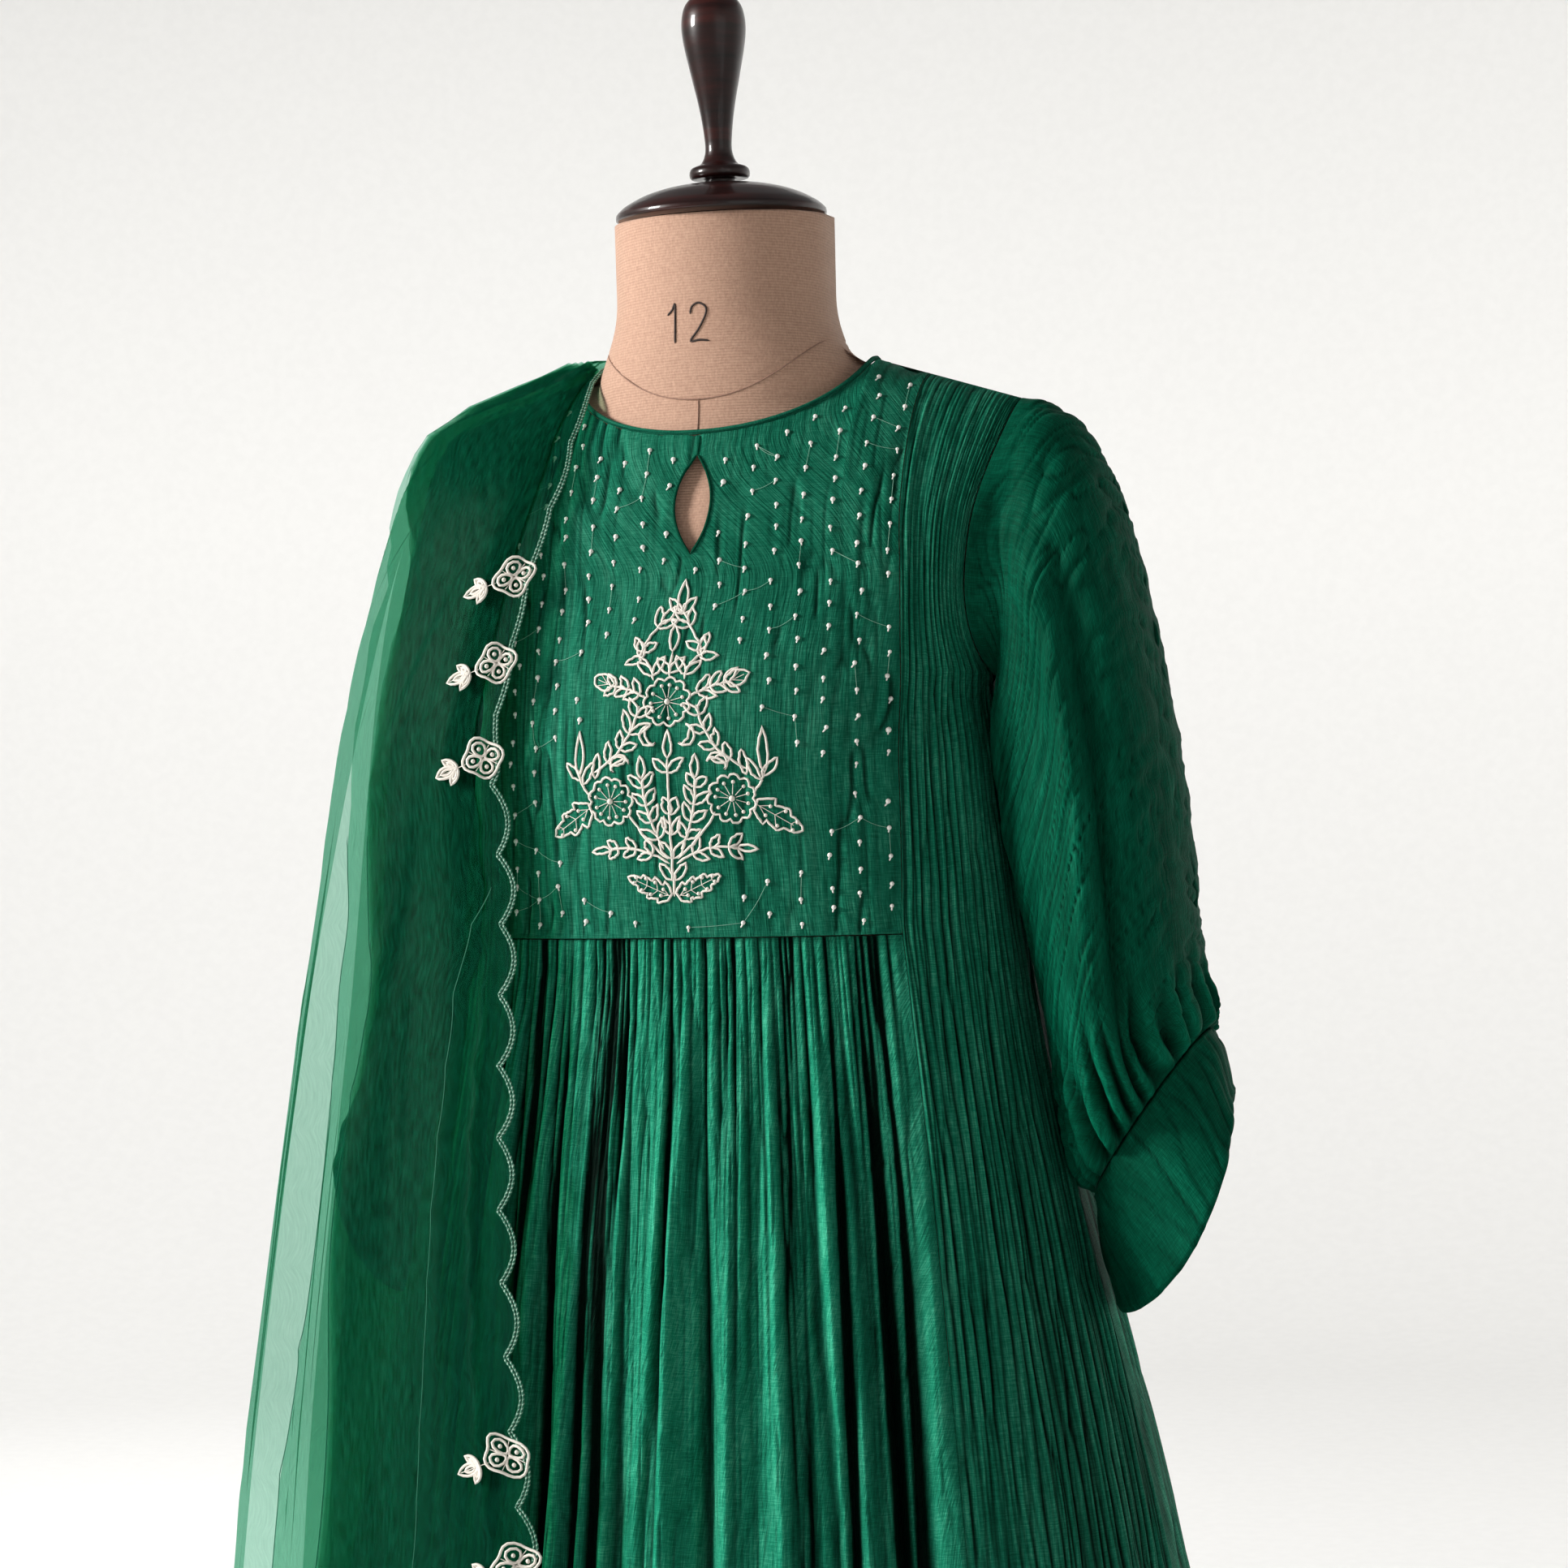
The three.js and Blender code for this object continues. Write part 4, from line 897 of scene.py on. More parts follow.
def skirt_surface(rows, columns):
    """The gathered panel, from the hem up to the yoke seam, as wide as the panel seams allow, with
    the painted shade of its valleys and the painted highlight of its crests.
    """
    below = mix(YOKE_SEAM_Z - HEM_Z, SEAM_GAP, np.linspace(0, 1, rows)[:, None] ** 0.8)
    z = YOKE_SEAM_Z - below
    share = np.linspace(-1, 1, columns)[None] + 0 * below
    half = panel_seam(z) - SEAM_GAP / 2
    flat = body_points(half * share, z + 0 * share, FRONT)
    run = below + 0 * share
    edge = 1 - np.abs(share) ** 24
    across = share * 230.0 + 300.0
    fine = -1.5 * creases(across, run, 7.0, 70.0, 51) - 0.9 * creases(across, run, 4.0, 36.0, 54)
    relief = large_folds(half * share / kurta["half"](z), run) + soft_folds(share, run) + fine
    deep = valleys(share, run, half)
    relief = relief + deep
    normals = vertex_normals(flat.reshape(-1, 3), grid_quads(rows, columns)).reshape(flat.shape)
    settled = 1.5 + 1.5 * smooth(below / 120.0)
    # Painted shade and highlight: the deepest places in each row are painted darker, and the highest ones
    # lighter.
    place = place_in_row(-deep - 0.8 * fine - 0.5 * soft_folds(share, run))
    painted_shading = 1.35 * smooth((place - 0.73) / 0.16) - 0.72 * (1 - smooth(place / 0.7))
    return flat + (edge * (relief - settled))[..., None] * normals, painted_shading * edge


SKIRT_ROWS, SKIRT_COLUMNS = 185, 470
skirt_grid, skirt_painted_shading = skirt_surface(SKIRT_ROWS, SKIRT_COLUMNS)
skirt = cloth_piece(
    "skirt_front", hemmed(skirt_grid), panel_cloth, shade=0.6, painted_shading=skirt_painted_shading
)
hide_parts("front_skirt")

# %% [markdown]
# ## Side fronts and back
#
# The side fronts carry the strongest crinkles, long ribs that run from shoulder to hem. Near the
# shoulder, where the cloth is pulled flat, they break up into a fine check. The back is one plain
# panel with the same ribs.

# %% Side fronts
TOP_EDGE_STEPS = 12


def side_relief(across, down):
    """Long ribs with sharp valleys, and short cross creases only near the shoulder."""
    near_top = 1 - smooth((down - 60.0) / 110.0)
    long_lines = 2.3 * ribs(across, down, 8.5, 260.0, 61) - 1.9 * creases(across, down, 8.0, 80.0, 64)
    short = 0.9 * ribs(across, down, 4.5, 70.0, 67) - 0.7 * creases(down, across, 7.0, 30.0, 70) * near_top
    return mix(1.0, 0.55, near_top) * long_lines + short - 1.2


def side_edge(z):
    """Half the body's width where its panels end: at the side seam, then at the armhole."""
    return np.where(z < UNDERARM_Z, kurta["half"](z), armhole(z))


def panel_heights(x_at, neck_drop, rows, columns):
    """Heights of a long panel from the hem up. The top edge depends on x and x on the height, so
    the two are worked out in turn until they agree."""
    top = np.full((1, columns), NECK_POINT_Z)
    for _ in range(TOP_EDGE_STEPS):
        top = top_edge(x_at(top), neck_drop)
    up = np.linspace(0, 1, rows)[:, None]
    return heights_up(HEM_Z, top, x_at(top), up, 0.8)


def hung_folds(z, phase):
    """Shallow valleys that deepen from below the arms to the hem."""
    return -7.0 * smooth((UNDERARM_Z - 60 - z) / 800.0) * (0.5 - 0.5 * np.cos(phase))


def side_surface(side, rows, columns):
    """From the panel seam round to the side seam, and from the shoulder down to the hem."""
    turn = np.linspace(0, 1, columns)[None]
    share = np.sin(turn * np.pi / 2)
    x_at = lambda z: mix(panel_seam(z) + SEAM_GAP / 2, side_edge(z), share)
    z = panel_heights(x_at, FRONT_NECK_DROP, rows, columns)
    grid = body_points(side * x_at(z), z, FRONT)
    fold = hung_folds(z, 6 * np.pi * turn)
    across = turn * mix(150.0, 190.0, smooth((1100.0 - z) / 800.0)) + 500.0 * (side + 2)
    relief = side_relief(across, 1420.0 - z) * seam_fade(rows, columns, 3, 3, "lrt")
    return moved_out(grid, fold + relief, out=side)


LEFT_ROWS, LEFT_COLUMNS = 190, 210
RIGHT_ROWS, RIGHT_COLUMNS = 120, 90
left_grid = side_surface(1, LEFT_ROWS, LEFT_COLUMNS)
# Painted shadow: the side front is painted darker towards the hem and towards the side seam.
towards_side = smooth(np.linspace(0, 1.6, LEFT_COLUMNS))
left_painted_shadow = 0.5 * smooth((1130.0 - left_grid[..., 2]) / 260.0) * towards_side
side_left = cloth_piece(
    "side_left", hemmed(left_grid), panel_cloth, painted_shading=left_painted_shadow
)
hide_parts("side_front_left")
right_grid = hemmed(side_surface(-1, RIGHT_ROWS, RIGHT_COLUMNS), out=-1)
side_right = cloth_piece("side_right", right_grid, panel_cloth, out=-1)
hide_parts("side_front_right")

# %% Back


def back_surface(rows, columns):
    """From one side seam to the other, and from the neck and shoulders down to the hem."""
    turn = np.linspace(-1, 1, columns)[None]
    share = np.sin(turn * np.pi / 2)
    x_at = lambda z: side_edge(z) * share
    z = panel_heights(x_at, BACK_NECK_DROP, rows, columns)
    grid = body_points(x_at(z), z, BACK)
    fold = hung_folds(z, 7 * np.pi * (share + 1))
    relief = 0.8 * side_relief(turn * 300.0 + 900.0, 1420.0 - z)
    return moved_out(grid, fold + relief * seam_fade(rows, columns, 3, 3, "lrt"), out=-1)


BACK_ROWS, BACK_COLUMNS = 130, 220
back_grid = hemmed(back_surface(BACK_ROWS, BACK_COLUMNS), out=-1)
back = cloth_piece("back", back_grid, panel_cloth, out=-1)
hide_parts("back_panel")

# %% [markdown]
# ## Neck binding and keyhole binding
#
# A narrow bias strip covers the raw edge. It is a round profile that follows the neckline, and a
# thinner one follows the keyhole and closes the slit above it.

# %% Bindings
BINDING_RADIUS = 1.5
KEYHOLE_SLIT_TOP = 1371.0


def neckline(steps):
    """The neck's edge as a closed path: half an ellipse in front and a flatter one behind."""
    turn = np.arange(steps) * 2 * np.pi / steps
    in_front = np.sin(turn) < 0
    drop = np.where(in_front, FRONT_NECK_DROP, BACK_NECK_DROP)
    x = NECK_HALF_WIDTH * np.cos(turn)
    z = NECK_POINT_Z - drop * np.abs(np.sin(turn))
    y = np.where(in_front, -body_depth(x, z, FRONT), body_depth(x, z, BACK))
    return np.stack([x, y, z], axis=1)


def moved_towards(path, centre, height):
    """A path moved towards a centre by a height, across its own direction."""
    ahead = np.roll(path, -1, axis=0) - np.roll(path, 1, axis=0)
    ahead /= np.linalg.norm(ahead, axis=1, keepdims=True)
    inward = centre - path
    inward -= ahead * np.sum(inward * ahead, axis=1, keepdims=True)
    return path + height * inward / np.linalg.norm(inward, axis=1, keepdims=True)


neck_path = moved_towards(neckline(220), np.array([0.0, -8.0, NECK_POINT_Z + 60.0]), 1.6)
neck_strand = strand(neck_path, BINDING_RADIUS, (0, 0, 1), 10, closed=True)
binding = sewn("neck_binding_strip", [neck_strand], panel_cloth)
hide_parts("neck_binding")


def keyhole_edges():
    """Both sides of the keyhole, and the short closed slit from it up to the neckline."""
    z = np.linspace(KEYHOLE_BOTTOM, KEYHOLE_TOP, 40)
    slit = np.linspace(KEYHOLE_TOP - 1, KEYHOLE_SLIT_TOP, 6)
    paths = [np.stack([KEYHOLE_X + s * (keyhole_half(z) + 0.3), z], axis=1) for s in (-1, 1)]
    paths.append(np.stack([np.full(6, KEYHOLE_X), slit], axis=1))
    return paths


def on_yoke(x, z, lift):
    """Points on the yoke's crinkled face, lifted by a height towards the front."""
    base = body_points(np.asarray(x, float), np.asarray(z, float), FRONT)
    relief = yoke_relief(base)
    base[..., 1] -= relief + lift
    return base


bound = [strand(on_yoke(p[:, 0], p[:, 1], 0.3), 0.8, (0, -1, 0), 6) for p in keyhole_edges()]
sewn("keyhole_binding", bound, shaded_sleeve_cloth)

# %% [markdown]
# ## The sleeves
#
# A sleeve is a row of rings from the armhole to the cuff seam, and smooth curves join them. A long
# valley falls down its front, with a lobe of cloth beside the body. Fine slanted creases cross it,
# and short uneven gathers spring from the cuff seam.

# %% Sleeves
SLEEVE_RINGS = [
    (187, 1390, 158, 1224, 56), (204, 1379, 163, 1209, 62), (219, 1357, 168, 1192, 68),
    (233, 1320, 172, 1173, 72), (246, 1260, 175, 1148, 76), (258, 1190, 177, 1112, 79),
    (266, 1112, 179, 1062, 80), (269, 1068, 185, 1006, 74), (271, 1046, 196, 962, 62),
    (271, 1033, 205, 940, 46),
]
CUFF_RINGS = [
    (271.2, 1032.6, 205.2, 939.6, 45.8), (278, 1021, 207, 913, 50), (283, 997, 217, 876, 54),
]
RIGHT_FULLNESS = 0.42
CUFF_DIP = 27.0


def squeezed(rings, fullness):
    """The rings with their crown pulled in and down, as under the weight of the dupatta."""
    rings = np.array(rings, float)
    rings[:, 0] = rings[:, 2] + (rings[:, 0] - rings[:, 2]) * fullness
    rings[:, 1] -= 16.0 * (1 - fullness)
    rings[:, 4] *= mix(0.72, 1.0, fullness)
    return rings


def ring_points(rings, angle):
    """Each ring as an ellipse: centre + half * cos(angle) across, and its depth * sin(angle)."""
    crown, under = rings[:, [0, 1]], rings[:, [2, 3]]
    centre, half = (crown + under) / 2, (crown - under) / 2
    x = centre[:, None, 0] + half[:, None, 0] * np.cos(angle)
    z = centre[:, None, 1] + half[:, None, 1] * np.cos(angle)
    y = -rings[:, None, 4] * np.sin(angle)
    return np.stack([x, y, z], axis=-1)


def armhole_ring(angle):
    """The seam at the armhole, just outside the panels' edges."""
    top = ridge(SHOULDER_HALF)
    middle, half = (top + UNDERARM_Z) / 2, (top - UNDERARM_Z) / 2
    z = middle + half * np.cos(angle)
    x = np.minimum(armhole(z), kurta["half"](z))
    y = np.where(np.sin(angle) >= 0, -body_depth(x, z, FRONT), body_depth(x, z, BACK))
    return np.stack([x + 0.75, y, z], axis=-1)


SLEEVE_GATHERS = 23


def sleeve_relief(angle, along, around, run):
    """The valley and the lobe, slanted creases, and gathers that spring from the cuff seam."""
    amount = smooth((along - 0.08) / 0.26) * (1 - smooth((along - 0.84) / 0.16))
    beside = 1 - smooth((along - 0.5) / 0.28)
    valley = -13.0 * np.exp(-(((angle - 1.27) / 0.2) ** 2)) * smooth((along - 0.2) / 0.4)
    lobe = 17.0 * beside * np.exp(-(((angle - 2.7) / 0.5) ** 2)) + 5.0 * np.exp(
        -(((angle - 1.62) / 0.2) ** 2)
    )
    inner = np.exp(-(((angle - 3.6) / 0.38) ** 2) - ((along - 0.43) / 0.16) ** 2)
    slope = mix(-0.3, 0.38, smooth((angle - 1.2) / 0.7))
    slant = run - np.cumsum(slope * np.diff(around, axis=1, prepend=0.0), axis=1)
    fine = -2.2 * creases(slant, around, 11.0, 60.0, 81) - 1.4 * creases(slant, around, 6.0, 40.0, 84)
    near_cuff = smooth((along - 0.74) / 0.2)
    drift = 0.9 * noise(angle * 1.6, along * 3.0, 87) + 0.4 * noise(angle * 4.0, along * 7.0, 88)
    gathered = np.cos(2 * np.pi * (SLEEVE_GATHERS * angle / (2 * np.pi) + drift))
    gathered = 1.0 - 2.0 * ((1 - gathered) / 2) ** 1.6
    uneven = 0.45 + 0.9 * noise(angle * 3.5, along * 4.0, 89)
    draw_in = 1 - 0.6 * smooth((along - 0.95) / 0.05)
    return (
        (valley + lobe + 13.0 * inner) * amount
        + fine * (1 - 0.4 * near_cuff)
        + 7.0 * gathered * uneven * near_cuff * draw_in
    )


def sleeve_surface(side, fullness, rows, columns):
    """A tube from the armhole ring through the sleeve's rings, with its relief moved out."""
    angle = np.arange(columns) * 2 * np.pi / columns
    rings = np.array(SLEEVE_RINGS, float)
    squeeze = smooth((np.arange(len(rings)) + 2) / 4.0)
    rings = mix(rings, squeezed(rings, fullness), squeeze[:, None])
    stack = np.concatenate([armhole_ring(angle)[None], ring_points(rings, angle)])
    knots = np.arange(len(stack)) / (len(stack) - 1.0)
    along = np.linspace(0, 1, rows)
    grid = hermite(knots, stack, along)
    around, run = lengths_along(grid)
    relief = sleeve_relief(angle[None], along[:, None], around, run)
    relief *= smooth(along / 0.05)[:, None] * smooth((1 - along) / 0.008)[:, None]
    grid = moved_out(grid, relief * mix(0.6, 1.0, fullness), ring=True)
    grid[..., 0] *= side
    return grid


def cuff_surface(side, fullness, rows, columns):
    """A short wide tube below the cuff seam, with soft creases across it and a turned edge."""
    angle = np.arange(columns) * 2 * np.pi / columns
    rings = squeezed(CUFF_RINGS, fullness)
    drop = np.array([rings[0, 1] - rings[0, 3], 0.0, rings[0, 2] - rings[0, 0]])
    drop *= SEAM_GAP / np.linalg.norm(drop)
    along = np.linspace(0, 1, rows)
    grid = hermite([0.0, 0.5, 1.0], ring_points(rings, angle) + drop, along)
    around, run = lengths_along(grid)
    soft = 1.6 * noise(around / 14.0, run / 40.0, 91) - 0.9 * creases(around, run, 11.0, 30.0, 92)
    edges = np.exp(-((along - 0.045) / 0.03) ** 2) + np.exp(-((along - 0.955) / 0.03) ** 2)
    relief = soft * smooth(along / 0.1)[:, None] + 0.7 * edges[:, None]
    grid = moved_out(grid, relief, ring=True)
    dip = CUFF_DIP * fullness * (along[:, None] ** 1.5) * np.maximum(np.sin(angle), 0.0)[None] ** 1.3
    grid = grid + dip[..., None] * drop / np.linalg.norm(drop)
    grid[..., 0] *= side
    return grid


for side, word, fullness, rows, columns in (
    (1, "left", 1.0, 170, 260),
    (-1, "right", RIGHT_FULLNESS, 90, 130),
):
    sleeve = cloth_piece(
        f"sleeve_{word}_cloth",
        sleeve_surface(side, fullness, rows, columns),
        shaded_sleeve_cloth,
        ring=True,
        out=side,
        shade=0.85,
    )
    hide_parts(f"sleeve_{word}")
    cuff = cloth_piece(
        f"cuff_{word}_cloth",
        cuff_surface(side, fullness, 24, columns),
        shaded_sleeve_cloth,
        thick=1.1,
        ring=True,
        out=side,
    )
    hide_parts(f"cuff_{word}")

# %% [markdown]
# ## The embroidery
#
# The spray on the yoke is worked in couched ivory thread: outlines only, with small pearls in the
# flowers and the lowest leaves. It is drawn from a few kinds of motif, each a short function: a
# leaf, a leafy sprig, a rosette, a crescent and a lobed leaf. The left half mirrors the right, with
# a little of a hand's unevenness.

# %% Motifs
MOTIF_X = -2.0
MOTIF_Z = 1112.0
hand = np.random.default_rng(7)
drawn = []
pearls = []


def rotated(points, angle):
    """Points turned about the origin by an angle."""
    turn = np.array([[np.cos(angle), np.sin(angle)], [-np.sin(angle), np.cos(angle)]])
    return points @ turn


def heading(angle):
    return np.array([np.cos(angle), np.sin(angle)])


def two_sided(along, half):
    """A closed outline from its half widths: out along one side and back along the other."""
    return np.concatenate([np.stack([along, half], 1), np.stack([along, -half], 1)[-2:0:-1]])


def leaf(base, angle, length, width):
    """A closed outline with a point at each end: width * sin(pi t^0.85)^0.85, fuller near the base."""
    t = np.linspace(0, 1, 9)
    half = 0.5 * width * np.sin(np.pi * t**0.85) ** 0.85
    drawn.append((rotated(two_sided(t * length, half), angle) + base, True))


def bent_line(start, end, bend, steps=12):
    """A parabola from start to end, pushed aside by bend at its middle."""
    start, end = np.array(start, float), np.array(end, float)
    t = np.linspace(0, 1, steps)[:, None]
    along = end - start
    aside = np.array([-along[1], along[0]]) / np.linalg.norm(along)
    return start + along * t + aside * bend * 4 * t * (1 - t)


def sprig(start, end, bend, pairs, length, width, end_leaf=True, first=0.15):
    """A stem with pairs of leaves that point forwards, and one leaf on its end."""
    stem = bent_line(start, end, bend, 4 * pairs + 4)
    drawn.append((stem, False))
    for share in np.linspace(first, 0.88, pairs):
        at = share * (len(stem) - 1)
        i = min(int(at), len(stem) - 2)
        base = mix(stem[i], stem[i + 1], at - i)
        ahead = np.arctan2(*(stem[i + 1] - stem[i])[::-1])
        size = length * (1 + 0.12 * hand.standard_normal())
        for turn in (0.72, -0.72):
            leaf(base, ahead + turn + 0.08 * hand.standard_normal(), size, width)
    if end_leaf:
        leaf(stem[-1], np.arctan2(*(stem[-1] - stem[-2])[::-1]), 1.15 * length, width)


def rosette(centre, radius, petals=11):
    """A scalloped outline round a ring of spokes, each spoke ending in a pearl."""
    centre = np.array(centre, float)
    t = np.linspace(0, 2 * np.pi, 4 * petals + 1)[:-1]
    scalloped = radius * (0.86 + 0.14 * np.abs(np.sin(petals * t / 2)) ** 0.7)
    drawn.append((centre + scalloped[:, None] * np.stack([np.cos(t), np.sin(t)], 1), True))
    for k in range(petals):
        angle = 2 * np.pi * (k + 0.5) / petals + 0.05 * hand.standard_normal()
        inner, outer = 0.17 * radius, 0.58 * radius
        drawn.append((centre + np.outer([inner, outer], heading(angle)), False))
        pearls.append((centre + 0.68 * radius * heading(angle), 0.085 * radius))
    pearls.append((centre, 0.14 * radius))


def crescent(centre, radius, angle):
    """Two arcs that share their ends, the outer one rounder."""
    t = np.linspace(-1.9, 1.9, 10)
    outer = radius * np.stack([np.cos(t), np.sin(t)], 1)
    inner = np.stack([0.45 * radius * np.cos(t[::-1]) - 0.1 * radius, outer[::-1, 1]], 1)
    drawn.append((rotated(np.concatenate([outer, inner[1:-1]]), angle) + centre, True))


def spiky_leaf(base, angle, length, width, spikes=3, pearled=False):
    """A wide leaf whose edge rises to a point and drops back, spikes times on each side."""
    t = np.linspace(0, 1, 8 * spikes + 1)
    saw = (spikes * t) % 1.0
    envelope = np.sin(np.pi * (0.08 + 0.92 * t) ** 0.75) ** 0.7
    half = 0.5 * width * envelope * (0.55 + 0.45 * saw)
    base = np.array(base, float)
    drawn.append((rotated(two_sided(t * length, half), angle) + base, True))
    drawn.append((rotated(np.array([[0.0, 0.0], [0.8 * length, 0.0]]), angle) + base, False))
    for k in range(spikes):
        foot, tip = (k + 0.25) / spikes * length, (k + 0.85) / spikes * length
        for side in (-1, 1):
            point = side * 0.27 * width * np.sin(np.pi * (k + 0.7) / (spikes + 0.3))
            vein = np.array([[foot, 0.0], [0.85 * tip, point]])
            drawn.append((rotated(vein, angle) + base, False))
            if pearled:
                spot = np.array([[0.85 * tip + 0.8, point]])
                pearls.append((rotated(spot, angle)[0] + base, 1.15))


# %% [markdown]
# The composition builds up from the foot: two pearled leaves, low wide sprigs, a central stem with a
# leafy stem on each side, two rosettes, arching branches up to the top rosette, and a steep arch of
# leaves that closes in a three-leaf tip.

# %% Composition


def half_spray(mirror):
    """One half of the spray. The mirror is 1 on the right and -1 on the left."""
    first = len(drawn), len(pearls)
    spiky_leaf((2.0, 1.0), 0.42, 27.0, 14.0, 4, pearled=True)
    sprig((2.0, 19.0), (37.0, 27.5), 3.5, 3, 10.0, 4.0, first=0.3)
    leaf((1.0, 10.0), 0.95, 11.5, 4.6)
    leaf((0.5, 22.0), 0.95, 12.0, 4.6)
    sprig((5.0, 27.0), (15.5, 66.0), -2.5, 4, 11.0, 4.4, first=0.16)
    drawn.append((bent_line((3.0, 21.6), (25.5, 47.0), -1.5), False))
    rosette((35.5, 54.0), 13.4)
    spiky_leaf((48.0, 51.0), -0.56, 29.0, 17.0, 3, pearled=True)
    drawn.append((bent_line((47.0, 57.0), (54.0, 68.0), -1.0), False))
    leaf((54.0, 68.0), 1.62, 25.0, 5.0)
    leaf((53.0, 66.0), 0.85, 13.0, 4.6)
    leaf((51.5, 64.0), 2.1, 14.0, 4.4)
    leaf((44.0, 67.0), 1.75, 14.0, 4.6)
    sprig((44.5, 70.0), (16.5, 106.0), 5.5, 4, 11.0, 4.4, end_leaf=False, first=0.22)
    crescent((28.5, 74.0), 5.6, 1.1)
    crescent((10.5, 89.5), 5.6, -0.4)
    sprig((13.0, 110.5), (34.0, 118.0), 1.0, 3, 10.0, 4.2, end_leaf=False, first=0.2)
    spiky_leaf((33.0, 117.5), 0.42, 13.0, 12.0, 1)
    sprig((9.0, 120.0), (18.5, 134.0), 2.5, 2, 11.0, 4.4, end_leaf=False, first=0.15)
    sprig((18.5, 132.0), (7.5, 152.0), -1.5, 2, 11.0, 4.4, first=0.2)
    for k in range(first[0], len(drawn)):
        drawn[k] = (drawn[k][0] * [mirror, 1.0], drawn[k][1])
    for k in range(first[1], len(pearls)):
        pearls[k] = (pearls[k][0] * [mirror, 1.0], pearls[k][1])


for mirror in (1, -1):
    half_spray(mirror)
drawn.append((bent_line((0.0, 1.0), (0.0, 78.0), 0.6, 20), False))
for side in (-1, 1):
    leaf((0.0, 35.0), np.pi / 2 - 0.5 * side, 11.0, 4.4)
    leaf((0.5 * side, 46.0), np.pi / 2 - 0.32 * side, 10.5, 5.4)
    leaf((0.0, 69.0), np.pi / 2 - 0.85 * side, 12.0, 5.0)
    leaf((0.5, 124.0), np.pi / 2 - 0.75 * side, 11.5, 4.8)
    leaf((3.5, 157.0), np.pi / 2 - 0.72 * side, 12.0, 5.0)
leaf((0.0, 77.0), np.pi / 2, 15.0, 5.0)
rosette((-0.5, 108.0), 13.6)
drawn.append((bent_line((0.5, 121.0), (1.0, 136.0), 0.3, 6), False))
leaf((1.0, 136.0), np.pi / 2, 15.0, 4.8)
leaf((3.5, 157.0), np.pi / 2 - 0.03, 19.0, 5.6)


def couched(paths, radius):
    """Each drawn line as a strand of thread on the yoke, a little uneven to either side."""
    parts = []
    for line, closed in paths:
        wobble = 0.22 * hand.standard_normal(line.shape)
        wobble[[0, -1]] *= 0.3
        path = line + wobble
        on = on_yoke(MOTIF_X + path[:, 0], MOTIF_Z + path[:, 1], 0.75 * radius)
        parts.append(strand(on, radius, (0, -1, 0), 5, closed=closed))
    return parts


def pearl_parts(spots, lift):
    parts = []
    for (u, v), radius in spots:
        centre = on_yoke(MOTIF_X + u, MOTIF_Z + v, lift + 0.4 * radius)
        parts.append(blob(centre, (0.0, -1.0, 0.0), radius, 0.75, 7, 5))
    return parts


THREAD_RADIUS = 0.74
spray_parts = couched(drawn, THREAD_RADIUS) + pearl_parts(pearls, 0.3)
sewn("yoke_embroidery", spray_parts, ivory_thread)
print("the spray has", len(drawn), "lines and", len(pearls), "pearls")

# %% [markdown]
# ## Bead knots
#
# Small white knots stand in staggered columns all over the yoke, clear of the spray and the keyhole.
# Each has a short tail of thread, and here and there a loose thread runs on to the next knot.

# %% Bead knots
BEAD_COLUMN = 15.6
BEAD_ROW = 14.0
BEAD_RADIUS = 1.35
SPRAY_OUTLINE = [
    (-12, 20), (0, 34), (22, 62), (36, 84), (70, 82), (88, 62), (104, 40), (122, 56),
    (136, 40), (150, 22), (176, 10), (184, 0),
]


def spray_half_width(v):
    """Half the width that the spray takes at a height above its foot."""
    heights, halves = zip(*SPRAY_OUTLINE)
    return np.interp(v, heights, halves, left=-5.0, right=-5.0)


def bead_places():
    """A staggered grid with a little unevenness, kept off the spray, keyhole, edges and neckline."""
    spots = []
    for column in range(-8, 8):
        for row in range(-1, 26):
            x = BEAD_COLUMN * (column + 0.35) * (1 - 0.0004 * row) + 0.9 * hand.standard_normal()
            z = 1098.0 + BEAD_ROW * (row + 0.5 * (column % 2)) + 1.0 * hand.standard_normal()
            in_spray = abs(x - MOTIF_X) < spray_half_width(z - MOTIF_Z) + 3.0
            near_keyhole = abs(x - KEYHOLE_X) < keyhole_half(z) + 5.0 and 1296 < z < 1368
            top = top_edge(np.array(x), FRONT_NECK_DROP) - 7.0
            if abs(x) < YOKE_HALF - 4 and z > YOKE_SEAM_Z + 5 and z < top:
                if not in_spray and not near_keyhole:
                    spots.append((x, z))
    return np.array(spots)


bead_spots = bead_places()
bead_parts = []
thread_parts = []
for k, (x, z) in enumerate(bead_spots):
    spot = on_yoke(x, z, 0.6)
    radius = BEAD_RADIUS * (1 + 0.08 * hand.standard_normal())
    bead_parts.append(blob(spot, (0.0, -1.0, 0.25), radius, 0.8))
    tail = np.linspace(0, 1, 5)
    swing = 0.6 * hand.standard_normal() - 0.5
    path = on_yoke(x + swing * tail, z - 0.6 - 2.1 * tail, 0.4)
    bead_parts.append(strand(path, 0.5, (0, -1, 0), 5))
    if hand.random() < 0.3:
        far = bead_spots - (x, z)
        far[k] = 1e6
        near = np.argsort(np.hypot(*far.T))[hand.integers(0, 3)]
        run = np.linspace(0, 1, 9)
        to = bead_spots[near]
        sag = -1.6 * np.sin(np.pi * run) * hand.random()
        path = on_yoke(mix(x, to[0], run), mix(z, to[1], run) + sag, 0.45)
        thread_parts.append(strand(path, 0.15, (0, -1, 0), 4))
sewn("bead_knots", bead_parts, bead_white)
sewn("loose_threads", thread_parts, pale_thread)
print(len(bead_spots), "bead knots")

# %% [markdown]
# ## The dupatta
#
# The dupatta hangs over the right shoulder. Its plan at each height is part of a superellipse, from
# its inner edge round over the arm. Below the elbow the front and the back part. The scarf is worn
# folded: four narrow pleats and a middle one lie on the front and one on the back, and near the inner
# edge the cloth turns back on itself, so that its border lies on a loose flap.

